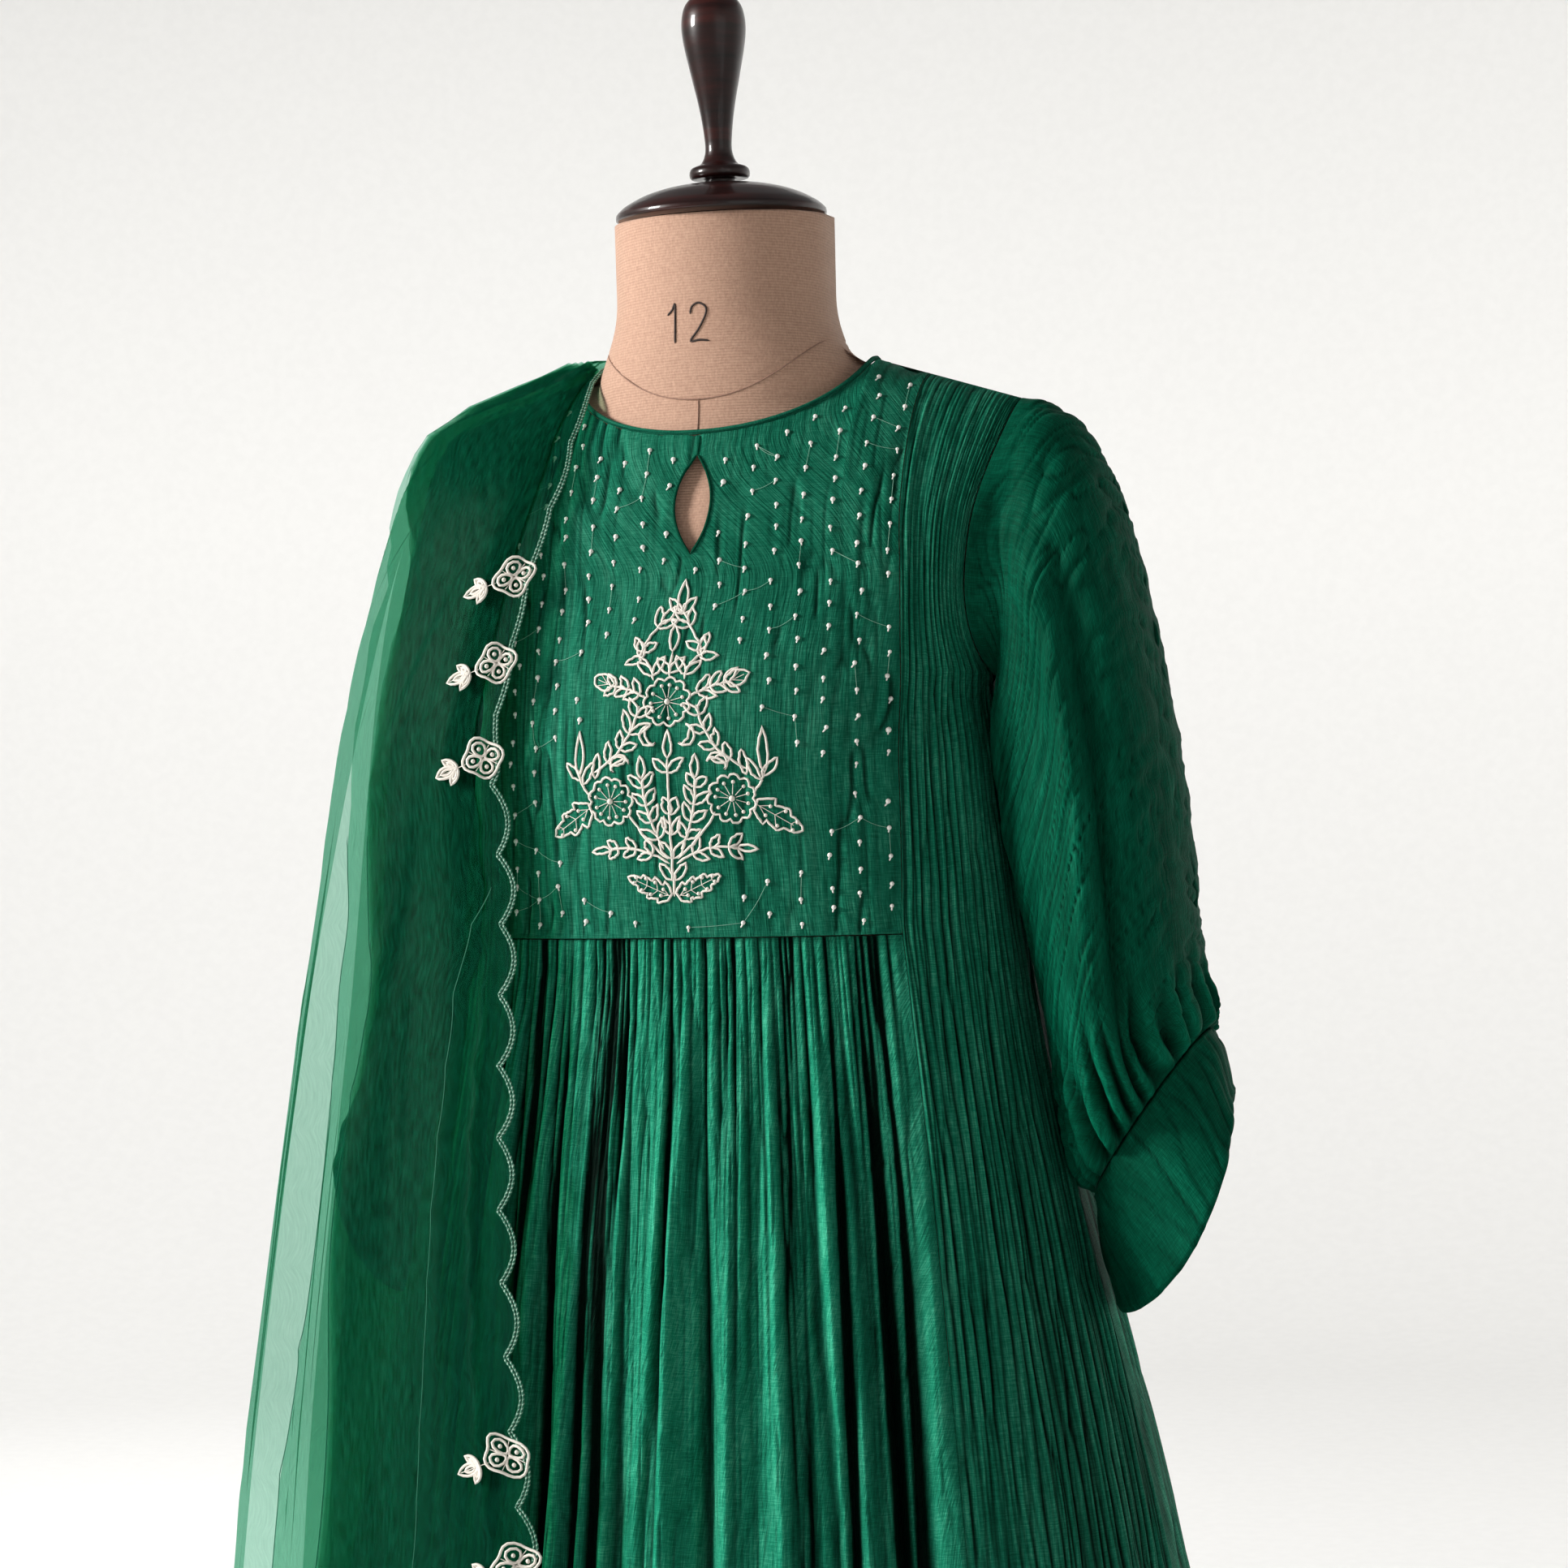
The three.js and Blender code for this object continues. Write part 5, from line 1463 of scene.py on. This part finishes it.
# %% The dupatta's form
DUPATTA_TOP_Z = 1429.0
DUPATTA_SLIT_Z = 1325.0
RIDGE_INNER_X, RIDGE_OUTER_X = 75.6, 88.0
RIDGE_Y = 1.0
SLIT_OPENING = np.radians(11.0)
DUPATTA_CLEAR = 2.4
SCALLOP = 39.0

dupatta = columns_of(
    "z inner side front back power",
    [
        (300, 52, 345, 266, 250, 2.2), (500, 60, 330, 228, 216, 2.2),
        (751, 73, 307, 184, 180, 2.2), (828, 84, 298, 172, 168, 2.2),
        (939, 96, 283, 156, 154, 2.2), (1027, 100, 270, 142, 140, 2.2),
        (1117, 102.5, 256, 132, 130, 2.2), (1194, 107, 243, 134, 122, 2.25),
        (1243, 98, 234, 128, 119, 2.3), (1298, 90, 221, 110, 115, 2.4),
        (1345, 77, 205, 94, 100, 2.6), (1372, 75, 195, 74, 78, 2.6),
        (1390, 75, 184, 54, 58, 2.4), (1404, 75, 150, 38, 42, 2.3),
        (1416, 75, 114, 21, 26, 2.3), (1424, 75.5, 92, 10, 13, 2.3),
    ],
)


def cloth_under(x, z, face):
    """The kurta's outer face with its folds filled in, which the organza clears."""
    below = YOKE_SEAM_Z - z
    folds = smooth(below / 260.0) * 21.0 + 4.0 * smooth((below + 20.0) / 20.0)
    neck = 6.0 * smooth((z - 1340.0) / 40.0) * smooth((102.0 - x) / 12.0)
    return body_depth(x, z, face) + (folds if face == FRONT else 4.5) + DUPATTA_CLEAR + neck


def scallops(z):
    """The border's arcs |sin(pi z / pitch)|, straightening out towards the shoulder."""
    arcs = np.abs(np.sin(np.pi * (z - HEM_Z) / SCALLOP)) ** 0.85
    return 9.0 * arcs * (1 - 0.75 * smooth((z - 1170.0) / 40.0))


def drape(across, z, face):
    """Soft folds: broad ones that hang, and diagonal ones that fan out from the neck point."""
    hang = smooth((1330.0 - z) / 300.0) * smooth(across / 0.3) * (1 - smooth((across - 0.8) / 0.2))
    waves = 3.0 if face == FRONT else 4.0
    wander = 0.25 * noise(across * 3.0 + 7.0, z / 260.0, 101)
    broad = 4.5 * hang * (1 + np.sin(2 * np.pi * (waves * across + wander)))
    fan_angle = np.arctan2(across * 240.0 + 12.0, NECK_POINT_Z + 25.0 - z)
    reach = np.hypot(across * 240.0, NECK_POINT_Z - z)
    spread = noise(fan_angle * 16.0, reach / 170.0, 105)
    spread = spread + 0.5 * noise(fan_angle * 34.0, reach / 110.0, 108)
    fan = 1.0 - np.abs(2.0 * spread / 1.5 - 1.0) ** 0.8
    fan = 4.5 * fan * smooth((z - 900.0) / 260.0) * smooth((across - 0.04) / 0.1)
    fan = fan * (1 - smooth((across - 0.5) / 0.35))
    hung = creases(across * 22.0, z, 1.0, 300.0, 111) * smooth((1180.0 - z) / 200.0)
    return broad + fan + 2.0 * hung * smooth(across / 0.05) * (1 - smooth((across - 0.75) / 0.2))


def dupatta_points(across, z, face, lift=0.0):
    """A point at an angle of a superellipse, pushed out to clear the kurta, then lifted along its
    normal."""
    side, power = dupatta["side"](z), 2.0 / dupatta["power"](z)
    edge = dupatta["inner"](z) - scallops(z) * (1 - across) ** 16
    inner_angle = np.arcsin(np.minimum(0.999, (edge / side) ** (1 / power)))
    opening = SLIT_OPENING * smooth((DUPATTA_SLIT_Z - z) / 300.0)
    widen = 1 / np.cos(opening) ** power
    angle = mix(inner_angle, np.pi / 2 - opening, across)
    x = side * widen * np.sin(angle) ** power
    depth = dupatta["front"](z) if face == FRONT else dupatta["back"](z)
    hang = depth * np.maximum(np.cos(angle), 0) ** power
    under = cloth_under(x, z, face) * (1 - across**12)
    depth = smooth_max(hang, under, 8 * (1 - across**4) + 0.01)
    up = 0.2 * smooth((z - CHEST_Z) / 90.0) + 1.4 * smooth((z - 1380.0) / 30.0)
    normal = np.stack(np.broadcast_arrays(-np.sin(angle), face * np.cos(angle), up), axis=-1)
    normal /= np.linalg.norm(normal, axis=-1, keepdims=True)
    point = np.stack(np.broadcast_arrays(-x, face * depth, z), axis=-1)
    return point + (drape(across, z, face) + lift)[..., None] * normal


# %% [markdown]
# One grid covers both falls. Its columns run from the front's inner edge over the arm to the back's
# inner edge, and its last row is the ridge over the shoulder. Below the slit the quads between the
# front and the back are left out.

# %% Dupatta cloth


def dupatta_grid(rows, half_columns):
    """Rows from the hem to the shoulder, columns from the front edge round to the back edge."""
    low = mix(300.0, 1300.0, np.linspace(0, 1, int(rows * 0.72), endpoint=False))
    high = mix(1300.0, 1424.0, np.sin(np.linspace(0, 1, rows - len(low)) * np.pi / 2))
    z = np.concatenate([low, high])[:, None]
    across = np.linspace(0, 1, half_columns)[None] + 0 * z
    z = z + 0 * across
    front = dupatta_points(across, z, FRONT)
    behind = dupatta_points(across, z, BACK)
    joined_above = z[:, -1:] > DUPATTA_SLIT_Z
    seam = np.where(joined_above[..., None], (front[:, -1:] + behind[:, -1:]) / 2, front[:, -1:])
    front[:, -1:] = seam
    grid = np.concatenate([front, behind[:, ::-1]], axis=1)
    x_ridge = -mix(RIDGE_INNER_X, RIDGE_OUTER_X, np.concatenate([across[0], across[0, ::-1]]))
    top = np.stack(np.broadcast_arrays(x_ridge, RIDGE_Y, DUPATTA_TOP_Z), axis=1)
    grid = np.concatenate([grid, top[None]])
    behind_seam = grid[:-1, half_columns]
    behind_seam[joined_above[:, 0]] = grid[:-1, half_columns - 1][joined_above[:, 0]]
    return grid, joined_above[:, 0]


def dupatta_cloth(rows, half_columns):
    """The main layer as one mesh: open below the slit, and joined at the arm and over the ridge."""
    grid, joined_above = dupatta_grid(rows, half_columns)
    total = 2 * half_columns
    quads = grid_quads(rows + 1, total).reshape(rows, total - 1, 4)
    keep = np.ones((rows, total - 1), bool)
    keep[:, half_columns - 1] = False
    across, down = lengths_along(grid)
    points = grid.reshape(-1, 3)
    uv = np.stack([across.ravel(), down.ravel()], axis=1)
    same = np.arange(len(points)).reshape(rows + 1, total)
    same[:-1, half_columns][joined_above] = same[:-1, half_columns - 1][joined_above]
    same[-1, half_columns:] = same[-1, :half_columns][::-1]
    quads = same.ravel()[quads[keep]]
    used, packed = np.unique(quads, return_inverse=True)
    return points[used], packed.reshape(-1, 4), uv[used]


# %% [markdown]
# The folded layers follow the same form up to a few millimetres further out. Each is a strip with its
# own limits at every height, so its folded edge runs down the cloth as a clean line.

# %% Folded layers


def folded_layer(face, low, high, lift, top=1420.0, rows=90, columns=36):
    """A strip of the dupatta between two limits of across, which are functions of the height. Its
    faces point inward, unlike the main layer's."""
    z = mix(300.5, top, np.linspace(0, 1, rows) ** 0.9)[:, None]
    share = np.linspace(0, 1, columns)[None]
    across = mix(low(z), high(z), share)
    z = z + 0 * across
    grid = dupatta_points(across, z, face, lift(across))
    across_mm, down_mm = lengths_along(grid)
    quads = grid_quads(rows, columns)
    if face == BACK:
        quads = quads[:, ::-1]
    uv = np.stack([across_mm.ravel() + 300.0, down_mm.ravel()], axis=1)
    return grid.reshape(-1, 3), quads, uv


FLAP_TOP = 1150.0
FRONT_PLEATS = 4
PLEAT_LIFT = 0.9
MIDDLE_LIFT = 4.4
BACK_LIFT = 1.5
FLAP_LIFT = 5.2


def dark_limit(z):
    """How far out the innermost pleats reach: further near the hem and on the shoulder."""
    belly = 0.06 * np.exp(-(((z - 940.0) / 80.0) ** 2))
    low = 0.32 + 0.07 * np.clip((1050.0 - z) / 300.0, 0, 3) + belly
    return low + 0.06 * smooth((z - 1050.0) / 100.0) + 0.45 * smooth((z - 1290.0) / 130.0)


def middle_limit(z):
    """How far out the middle pleat reaches."""
    return 0.48 + 0.08 * smooth((950.0 - z) / 200.0) + 0.4 * smooth((z - 1290.0) / 130.0)


def flap_limit(z):
    """How wide the turned-back flap is, from nothing at its top."""
    wide = 0.085 + 0.1 * np.clip((1070.0 - z) / 348.0, 0, 2.2)
    return 0.004 + wide * smooth((FLAP_TOP - z) / 90.0)


def pleat_start(z):
    """Where the pleats begin: just inside the flap's edge."""
    return np.maximum(0.05, flap_limit(z) - 0.02)


def raised(amount):
    """A lift as a function of across, from nothing at the inner edge."""
    return lambda across: amount * smooth((across - 0.02) / 0.08)


DUPATTA_ROWS, DUPATTA_HALF_COLUMNS = 200, 116
points, quads, uv = dupatta_cloth(DUPATTA_ROWS, DUPATTA_HALF_COLUMNS)
layers = [(points, quads[:, ::-1], uv)]
for k in range(FRONT_PLEATS):
    pleat_limit = lambda z: dark_limit(z) - 0.012 * k
    layers.append(folded_layer(FRONT, pleat_start, pleat_limit, raised(PLEAT_LIFT + PLEAT_LIFT * k)))
layers.append(folded_layer(FRONT, pleat_start, middle_limit, raised(MIDDLE_LIFT)))
layers.append(folded_layer(BACK, pleat_start, lambda z: 0.9 + 0 * z, raised(BACK_LIFT)))
flap_lift = lambda across: FLAP_LIFT * smooth(across / 0.1)
layers.append(folded_layer(FRONT, lambda z: 0.0 * z, flap_limit, flap_lift, FLAP_TOP))
veil = sewn("dupatta_cloth", layers, organza)
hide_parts("dupatta")
print("dupatta has", 2 * len(veil.data.polygons), "triangles")

# %% [markdown]
# ## The dupatta's border
#
# A plied cord of green and white thread is couched along the scalloped edge. In groups of three,
# small four-petalled cutwork flowers are worked over it in ivory, each with a three-leaf sprig.

# %% Border cord
edge_z = np.linspace(302.0, 1422.0, 800)
front_edge = dupatta_points(np.zeros_like(edge_z), edge_z, FRONT)
back_edge = dupatta_points(np.zeros_like(edge_z), edge_z, BACK)
over = np.array([[-RIDGE_INNER_X, RIDGE_Y, DUPATTA_TOP_Z]])
border_path = np.concatenate([front_edge, over, back_edge[::-1]])
CORD_RADIUS = 0.72
CORD_APART = 0.9


def twin_cords(path):
    """Two cords side by side on the edge, each swollen a little at every turn of its ply."""
    ahead = np.gradient(path, axis=0)
    aside = np.cross(ahead, [0.0, 1.0, 0.0])
    aside /= np.maximum(np.linalg.norm(aside, axis=1, keepdims=True), 1e-6)
    parts = []
    for k in (-1, 1):
        plied = 0.18 * np.sin(np.arange(len(path)) * 1.9 + k)
        parts.append(strand(path + CORD_APART * k * aside, CORD_RADIUS + plied, (0.0, 1.0, 0.1), 6))
    return parts


cord = sewn("border_cord_run", twin_cords(border_path), border_cord)


def fold_line(limit, lift, low, high):
    """The doubled edge of a fold, a fine line along the limit of a layer."""
    z = np.linspace(low, high, 240)
    path = dupatta_points(limit(z), z, FRONT, lift + 0.2)
    return strand(path, 0.25, (0.0, 1.0, 0.1), 5)


fold_lines = [
    fold_line(flap_limit, FLAP_LIFT, 301.0, 1120.0),
    fold_line(dark_limit, PLEAT_LIFT, 301.0, 1150.0),
    fold_line(middle_limit, MIDDLE_LIFT, 301.0, 1150.0),
]
edges = sewn("fold_lines", fold_lines, fold_edge)

# %% Border flowers
FLOWER_RADIUS = 11.3
FLOWER_HEIGHTS = [1294.0, 1245.0, 1192.0, 814.0, 758.0, 702.0, 322.0]


def on_dupatta(u, v, z_middle, face, lift):
    """Points on the organza: u mm in from the edge and v mm up, lifted off the cloth."""
    z = z_middle + np.asarray(v, float)
    side = dupatta["side"](z)
    span = side * (np.pi / 2 - np.arcsin(np.minimum(0.999, dupatta["inner"](z) / side)))
    across = np.clip(np.asarray(u, float) / span, 0.0, 1.0)
    base = dupatta_points(across, z, face)
    base[..., 1] += face * lift
    base[..., 0] += np.where(np.asarray(u) < 0, -np.asarray(u, float), 0.0)
    return base


def flower_lines():
    """Four petal loops inside a lobed outline, a cross of stitches and a sprig of three leaves."""
    t = np.linspace(0, 2 * np.pi, 29)[:-1]
    lobed = FLOWER_RADIUS * (0.93 + 0.12 * np.cos(4 * t))
    lines = [(np.stack([lobed * np.cos(t), lobed * np.sin(t)], 1), True)]
    loop = np.linspace(0, 2 * np.pi, 11)[:-1]
    for k in range(4):
        bulge = 3.1 * np.sin(loop) * (1 + 0.25 * np.cos(loop))
        petal = np.stack([4.0 * np.cos(loop) + 4.9, bulge], 1)
        lines.append((rotated(petal, k * np.pi / 2), True))
        lines.append((rotated(np.array([[1.0, 0.0], [6.3, 6.3]]) * 0.9, k * np.pi / 2), False))
    foot = [FLOWER_RADIUS + 4.0, 0.0]
    for turn, length in ((0.0, 15.0), (0.8, 10.0), (-0.85, 10.0)):
        share = np.linspace(0, 1, 7)
        outline = two_sided(share * length, 0.2 * length * np.sin(np.pi * share) ** 0.8)
        vein = np.array([[0.0, 0.0], [0.9 * length, 0.0]])
        lines.append((rotated(outline, turn) + foot, True))
        lines.append((rotated(vein, turn) + foot, False))
        lines.append((rotated(0.5 * outline + [0.2 * length, 0.0], turn) + foot, True))
    lines.append((np.array([[FLOWER_RADIUS - 1.0, 0.0], [FLOWER_RADIUS + 5.0, 0.0]]), False))
    return lines


flower_parts = []
for face in (FRONT, BACK):
    for middle in FLOWER_HEIGHTS:
        for line, closed in flower_lines():
            tilted = rotated(line, -0.35)
            lift = 0.9 + 5.6 * smooth((tilted[:, 0] + 4.0) / 11.0)
            path = on_dupatta(tilted[:, 0] + 7.5, tilted[:, 1], middle, face, lift)
            flower_parts.append(strand(path, 0.85, (0.0, 1.0 * face, 0.2), 5, closed=closed))
        for k in range(4):
            spot = rotated(np.array([[5.2, 0.0]]), k * np.pi / 2 - 0.35)[0]
            lift = 1.2 + 5.6 * smooth((spot[0] + 4.0) / 11.0)
            centre = on_dupatta(spot[0] + 7.5, spot[1], middle, face, lift)
            flower_parts.append(blob(centre, (0.0, 1.0 * face, 0.0), 1.35, 0.8, 7, 5))
flowers = sewn("border_flowers", flower_parts, ivory_thread)

# %% [markdown]
# ## The dress form
#
# The form shows at the neck, the neckline and the keyhole. It is the same padded body that the CAD
# holds, as a fine surface: a superellipse below the chest, the shoulders inside the kurta, and a
# neck that leans a little forward.

# %% Form
NECK_HALF = (63.0, 55.0)
NECK_FLARE = 14.0
NECK_TOP_Z = 1502.0
NECK_TILT = np.radians(4.0)
COLLAR_Z = 1393.0
form = columns_of(
    "z half front back",
    [
        (848, 148, 98, 110), (858, 155, 105, 115), (910, 157, 108, 116), (960, 149, 104, 111),
        (1030, 126, 92, 95), (1090, 131, 98, 96), (1140, 141, 109, 100), (1190, 148, 119, 103),
        (1235, 147, 114, 102.5),
    ],
)
form_side = columns_of(
    "z x", [(1235, 146), (1262, 145), (1290, 146), (1330, 153), (1370, 163), (1392, 168)]
)["x"]


def neck_forward(z):
    return mix(14.0, 18.0, np.clip((z - 1390.0) / 110.0, 0, 1))


def neck_half(z):
    """Half the neck's width, flaring by a smooth step where it runs into the shoulder."""
    return NECK_HALF[0] + NECK_FLARE * smooth((1462.0 - z) / 60.0) ** 1.5


def form_edge(z):
    """Half the form's width: hip to bust from the table, then the shoulder, flaring into the neck."""
    line = NECK_HALF_WIDTH + (NECK_POINT_Z - 5.0 - z) / SHOULDER_SLOPE
    shoulder = smooth_max(np.minimum(form_side(z), line), neck_half(z), 22.0)
    return np.where(z < UNDERARM_Z, form["half"](z), shoulder)


def form_depth(x, z, face):
    """The form's front or back at (x, z): its own body below the arms, and inside the kurta above."""
    depth = form["front"](z) if face == FRONT else form["back"](z)
    below = depth * (1 - np.clip(np.abs(x) / form["half"](z), 0, 1) ** 2.2) ** (1 / 2.2)
    inset = mix(8.0, 3.2, smooth((z - UNDERARM_Z) / 90.0))
    rounded = 9.0 * np.sqrt(np.maximum(0, 1 - (x / form_edge(z)) ** 2))
    chest = np.maximum(body_depth(x, z + 5.0, face) - inset, rounded)
    beyond = np.maximum(0, np.abs(x) - neck_half(z))
    round_neck = NECK_HALF[1] * np.sqrt(np.maximum(0, 1 - (x / neck_half(z)) ** 2)) - 3.0 * beyond
    neck = smooth_max(chest, round_neck - face * neck_forward(z), 9.0)
    return np.where(z < UNDERARM_Z, below, np.where(z > 1340.0, neck, chest))


def neck_lift(y, z, forward):
    """How far the neck's tilt lifts a point. It starts above the collar."""
    return (y + forward) * np.tan(NECK_TILT) * smooth((z - 1432.0) / 70.0)


def collar_seam(x):
    """Height of the seam at the foot of the neck: lowest at the middle, rising to the sides."""
    return COLLAR_Z + 34.0 * (np.abs(x) / 66.0) ** 2.2


def form_surface(rows, columns):
    """Rings from the form's bottom to the top of its neck, closed at the bottom."""
    z = np.concatenate(
        [np.linspace(848.5, 1235, rows // 3, endpoint=False), np.linspace(1235, NECK_TOP_Z, rows - rows // 3)]
    )[:, None]
    turn = (np.arange(columns) * 2 * np.pi / columns)[None]
    x = form_edge(z) * np.cos(turn)
    z = z + 0 * x
    front, behind = form_depth(x, z, FRONT), form_depth(x, z, BACK)
    at_edge = np.abs(np.sin(turn)) < 1e-6
    forward = smooth((z - 1405.0) / 20.0) * neck_forward(z)
    y = np.where(np.sin(turn) > 0, -front, behind)
    y = np.where(at_edge, -forward, y)
    seam = np.exp(-(((z - collar_seam(x)) / 0.9) ** 2)) * (y < 20)
    centre_seam = np.exp(-((x / 0.8) ** 2)) * (z < COLLAR_Z) * (y < 0) * (z > 1330)
    pinch = 1 - 0.010 * seam - 0.006 * centre_seam
    return np.stack([x * pinch, y * pinch, z + neck_lift(y, z, forward)], axis=-1)


def capped(grid, share=0.01):
    """A ring grid with one more ring at each end, drawn in to almost a point."""
    first, last = (mix(ring.mean(axis=0), ring, share)[None] for ring in (grid[0], grid[-1]))
    return np.concatenate([first, grid, last])


FORM_ROWS, FORM_COLUMNS = 240, 144
form_grid = capped(form_surface(FORM_ROWS, FORM_COLUMNS))
torso = mesh_piece(
    "form_body", form_grid.reshape(-1, 3), grid_quads(*form_grid.shape[:2], ring=True), jersey
)
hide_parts("form_torso")
collar_x = np.linspace(-66.0, 66.0, 60)
middle_z = np.linspace(COLLAR_Z, 1366.0, 12)
seam_paths = [(collar_x, collar_seam(collar_x)), (0.0 * middle_z + 0.5, middle_z)]
seam_parts = []
for seam_x, seam_z in seam_paths:
    seam_y = -form_depth(seam_x, seam_z, FRONT) + 0.15
    seam_parts.append(strand(np.stack([seam_x, seam_y, seam_z], axis=1), 0.42, (0, -1, 0.2), 5))
sewn("form_seams", seam_parts, seam_thread)

# %% [markdown]
# The cap and the knob are turned on a lathe. A profile of a few radii and heights, joined by a
# smooth curve, is carried round the axis, then leaned with the neck.

# %% Turned pieces
CAP_PROFILE = [(57, 0), (61, 2), (61.3, 3.6), (60.8, 5.4), (56, 9.6), (44, 15.6), (28, 19.8), (10, 21.4)]
KNOB_PROFILE = [
    (9.5, 0), (8.7, 2.5), (16.6, 3.0), (17.6, 6), (16.4, 9), (11, 11.4), (8.2, 17), (7.8, 24),
    (10, 42), (14.5, 64), (18, 82), (18.6, 93), (16.3, 102.5), (10, 109), (3.4, 111),
]
POLE_PROFILE = [(14, 0), (14, 786)]
BASE_PROFILE = [(215, 0), (218, 6), (213, 16), (60, 24), (34, 34), (28, 59.6)]
CAP_PLACE = np.array([0.0, -18.0, NECK_TOP_Z + SEAM_GAP])


def carried_round(profile, segments=96):
    """A profile of (radius, height) rows carried round the axis."""
    turn = np.arange(segments) * 2 * np.pi / segments
    r, h = profile[:, 0, None], profile[:, 1, None]
    return np.stack(np.broadcast_arrays(r * np.cos(turn), r * np.sin(turn), h + 0 * turn), axis=-1)


def turned(name, profile, finish, node, place=(0.0, 0.0, 0.0), lean=0.0, rounded=True):
    """A profile of (radius, height) pairs carried round the axis and closed at both ends."""
    profile = np.array(profile, float)
    if rounded:
        length = np.concatenate([[0], np.cumsum(np.linalg.norm(np.diff(profile, axis=0), axis=1))])
        profile = hermite(length, profile, np.linspace(0, length[-1], 90))
    else:
        profile = np.repeat(profile, 2, axis=0)
        profile[1:-1:2] = mix(profile[1:-1:2], profile[2::2], 0.04)
    grid = capped(carried_round(profile))
    c, s = np.cos(lean), np.sin(lean)
    grid = grid @ np.array([[1, 0, 0], [0, c, s], [0, -s, c]]) + place
    piece = mesh_piece(name, grid.reshape(-1, 3), grid_quads(*grid.shape[:2], ring=True), finish)
    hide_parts(node)


turned("cap", CAP_PROFILE, dark_wood, "neck_cap", CAP_PLACE, NECK_TILT)
knob_place = CAP_PLACE + (21.5 + SEAM_GAP) * np.array([0.0, -np.sin(NECK_TILT), np.cos(NECK_TILT)])
turned("knob", KNOB_PROFILE, dark_wood, "neck_finial", knob_place, NECK_TILT)
turned("pole", POLE_PROFILE, stand_paint, "stand_pole", (0.0, 0.0, 60.6), rounded=False)
turned("base", BASE_PROFILE, stand_paint, "stand_base", rounded=False)

# %% [markdown]
# The size is written on the neck by hand. It is a plain number, drawn as two thin strokes of ink.

# %% Size mark
DIGIT_PLACE = (-4.0, 1425.0)
ONE = [(-12.6, 16.5), (-9.5, 19.6), (-7.8, 22.6), (-8.0, 11.0), (-8.4, 0.2)]
TWO = [
    (1.4, 16.2), (2.6, 20.6), (6.6, 22.6), (10.6, 20.0), (10.4, 15.2), (6.2, 7.4), (1.2, 0.9),
    (6.6, 1.2), (12.4, 0.5),
]


def on_neck(u, v):
    """Points on the front of the neck, a hair above the jersey."""
    x = DIGIT_PLACE[0] + u
    z = DIGIT_PLACE[1] + v
    y = -form_depth(x, z, FRONT) - 0.15
    return np.stack([x, y, z + neck_lift(y, z, neck_forward(z))], axis=-1)


strokes = []
for digit in (ONE, TWO):
    shape = hermite(np.arange(len(digit)), np.array(digit), np.linspace(0, len(digit) - 1, 34))
    strokes.append(strand(on_neck(shape[:, 0], shape[:, 1]), 0.62, (0, -1, 0), 6))
sewn("size_mark", strokes, pen_ink)

# %% [markdown]
# ## Room and light
#
# The studio is one pale surface: a round floor that curves up into a wall all round, so that every
# view has the same plain background. A large soft light from the upper left models the crinkles, a
# weaker one opens the shadows, and two more light the wall behind.

# %% Studio
ROOM_RADIUS = 7.0
ROOM_CORNER = 2.0
ROOM_HEIGHT = 6.0


def studio_surface():
    """A profile from the middle of the floor, round a quarter circle and up, carried round."""
    corner = np.linspace(0, np.pi / 2, 16)
    floor = np.stack([np.linspace(0.02, ROOM_RADIUS - ROOM_CORNER, 8), np.zeros(8)], 1)
    bend = np.stack(
        [ROOM_RADIUS - ROOM_CORNER + ROOM_CORNER * np.sin(corner), ROOM_CORNER * (1 - np.cos(corner))], 1
    )
    wall = np.array([[ROOM_RADIUS, ROOM_HEIGHT]])
    return carried_round(np.concatenate([floor, bend[1:], wall]) / MM)


room_paint = plain_finish("room_paint", (0.86, 0.855, 0.84), 0.9, 0.01, 40.0)
room_grid = studio_surface()
room_mesh = bpy.data.meshes.new("studio")
room_mesh.from_pydata(
    (room_grid.reshape(-1, 3) * MM).tolist(), [], grid_quads(*room_grid.shape[:2], ring=True).tolist()
)
room_mesh.materials.append(room_paint)
room_mesh.shade_smooth()
room = bpy.data.objects.new("studio", room_mesh)
bpy.context.scene.collection.objects.link(room)


def soft_light(name, place, aim, size, power, colour=(1.0, 1.0, 1.0)):
    """A square area light that faces a point."""
    light = bpy.data.lights.new(name, "AREA")
    light.shape = "SQUARE"
    light.size = size
    light.energy = power
    light.color = colour
    lamp = bpy.data.objects.new(name, light)
    back_axis = np.array(place, float) - np.array(aim, float)
    back_axis /= np.linalg.norm(back_axis)
    right = np.cross([0.0, 0.0, 1.0], back_axis)
    right /= np.linalg.norm(right)
    turned_axes = np.array([right, np.cross(back_axis, right), back_axis]).T
    lamp.matrix_world = Matrix.Translation(place) @ Matrix(turned_axes.tolist()).to_4x4()
    bpy.context.scene.collection.objects.link(lamp)


AIM = (0.0, 0.0, 1.15)
soft_light("key", (-3.0, -1.75, 2.35), AIM, 0.9, 175.0, (1.0, 0.985, 0.96))
soft_light("fill", (2.4, -2.6, 1.6), AIM, 2.2, 5.0)
soft_light("wall_left", (-2.4, 1.9, 2.6), (-1.2, 7.0, 1.0), 1.6, 88.0)
soft_light("wall_right", (2.6, 1.9, 2.6), (1.6, 7.0, 1.0), 1.6, 84.0)

world = bpy.data.worlds.new("studio_air")
bpy.context.scene.world = world
world.use_nodes = True
set_inputs(world.node_tree.nodes["Background"], Color=(1.0, 1.0, 1.0, 1.0), Strength=0.18)
bpy.context.scene.view_settings.view_transform = "Standard"
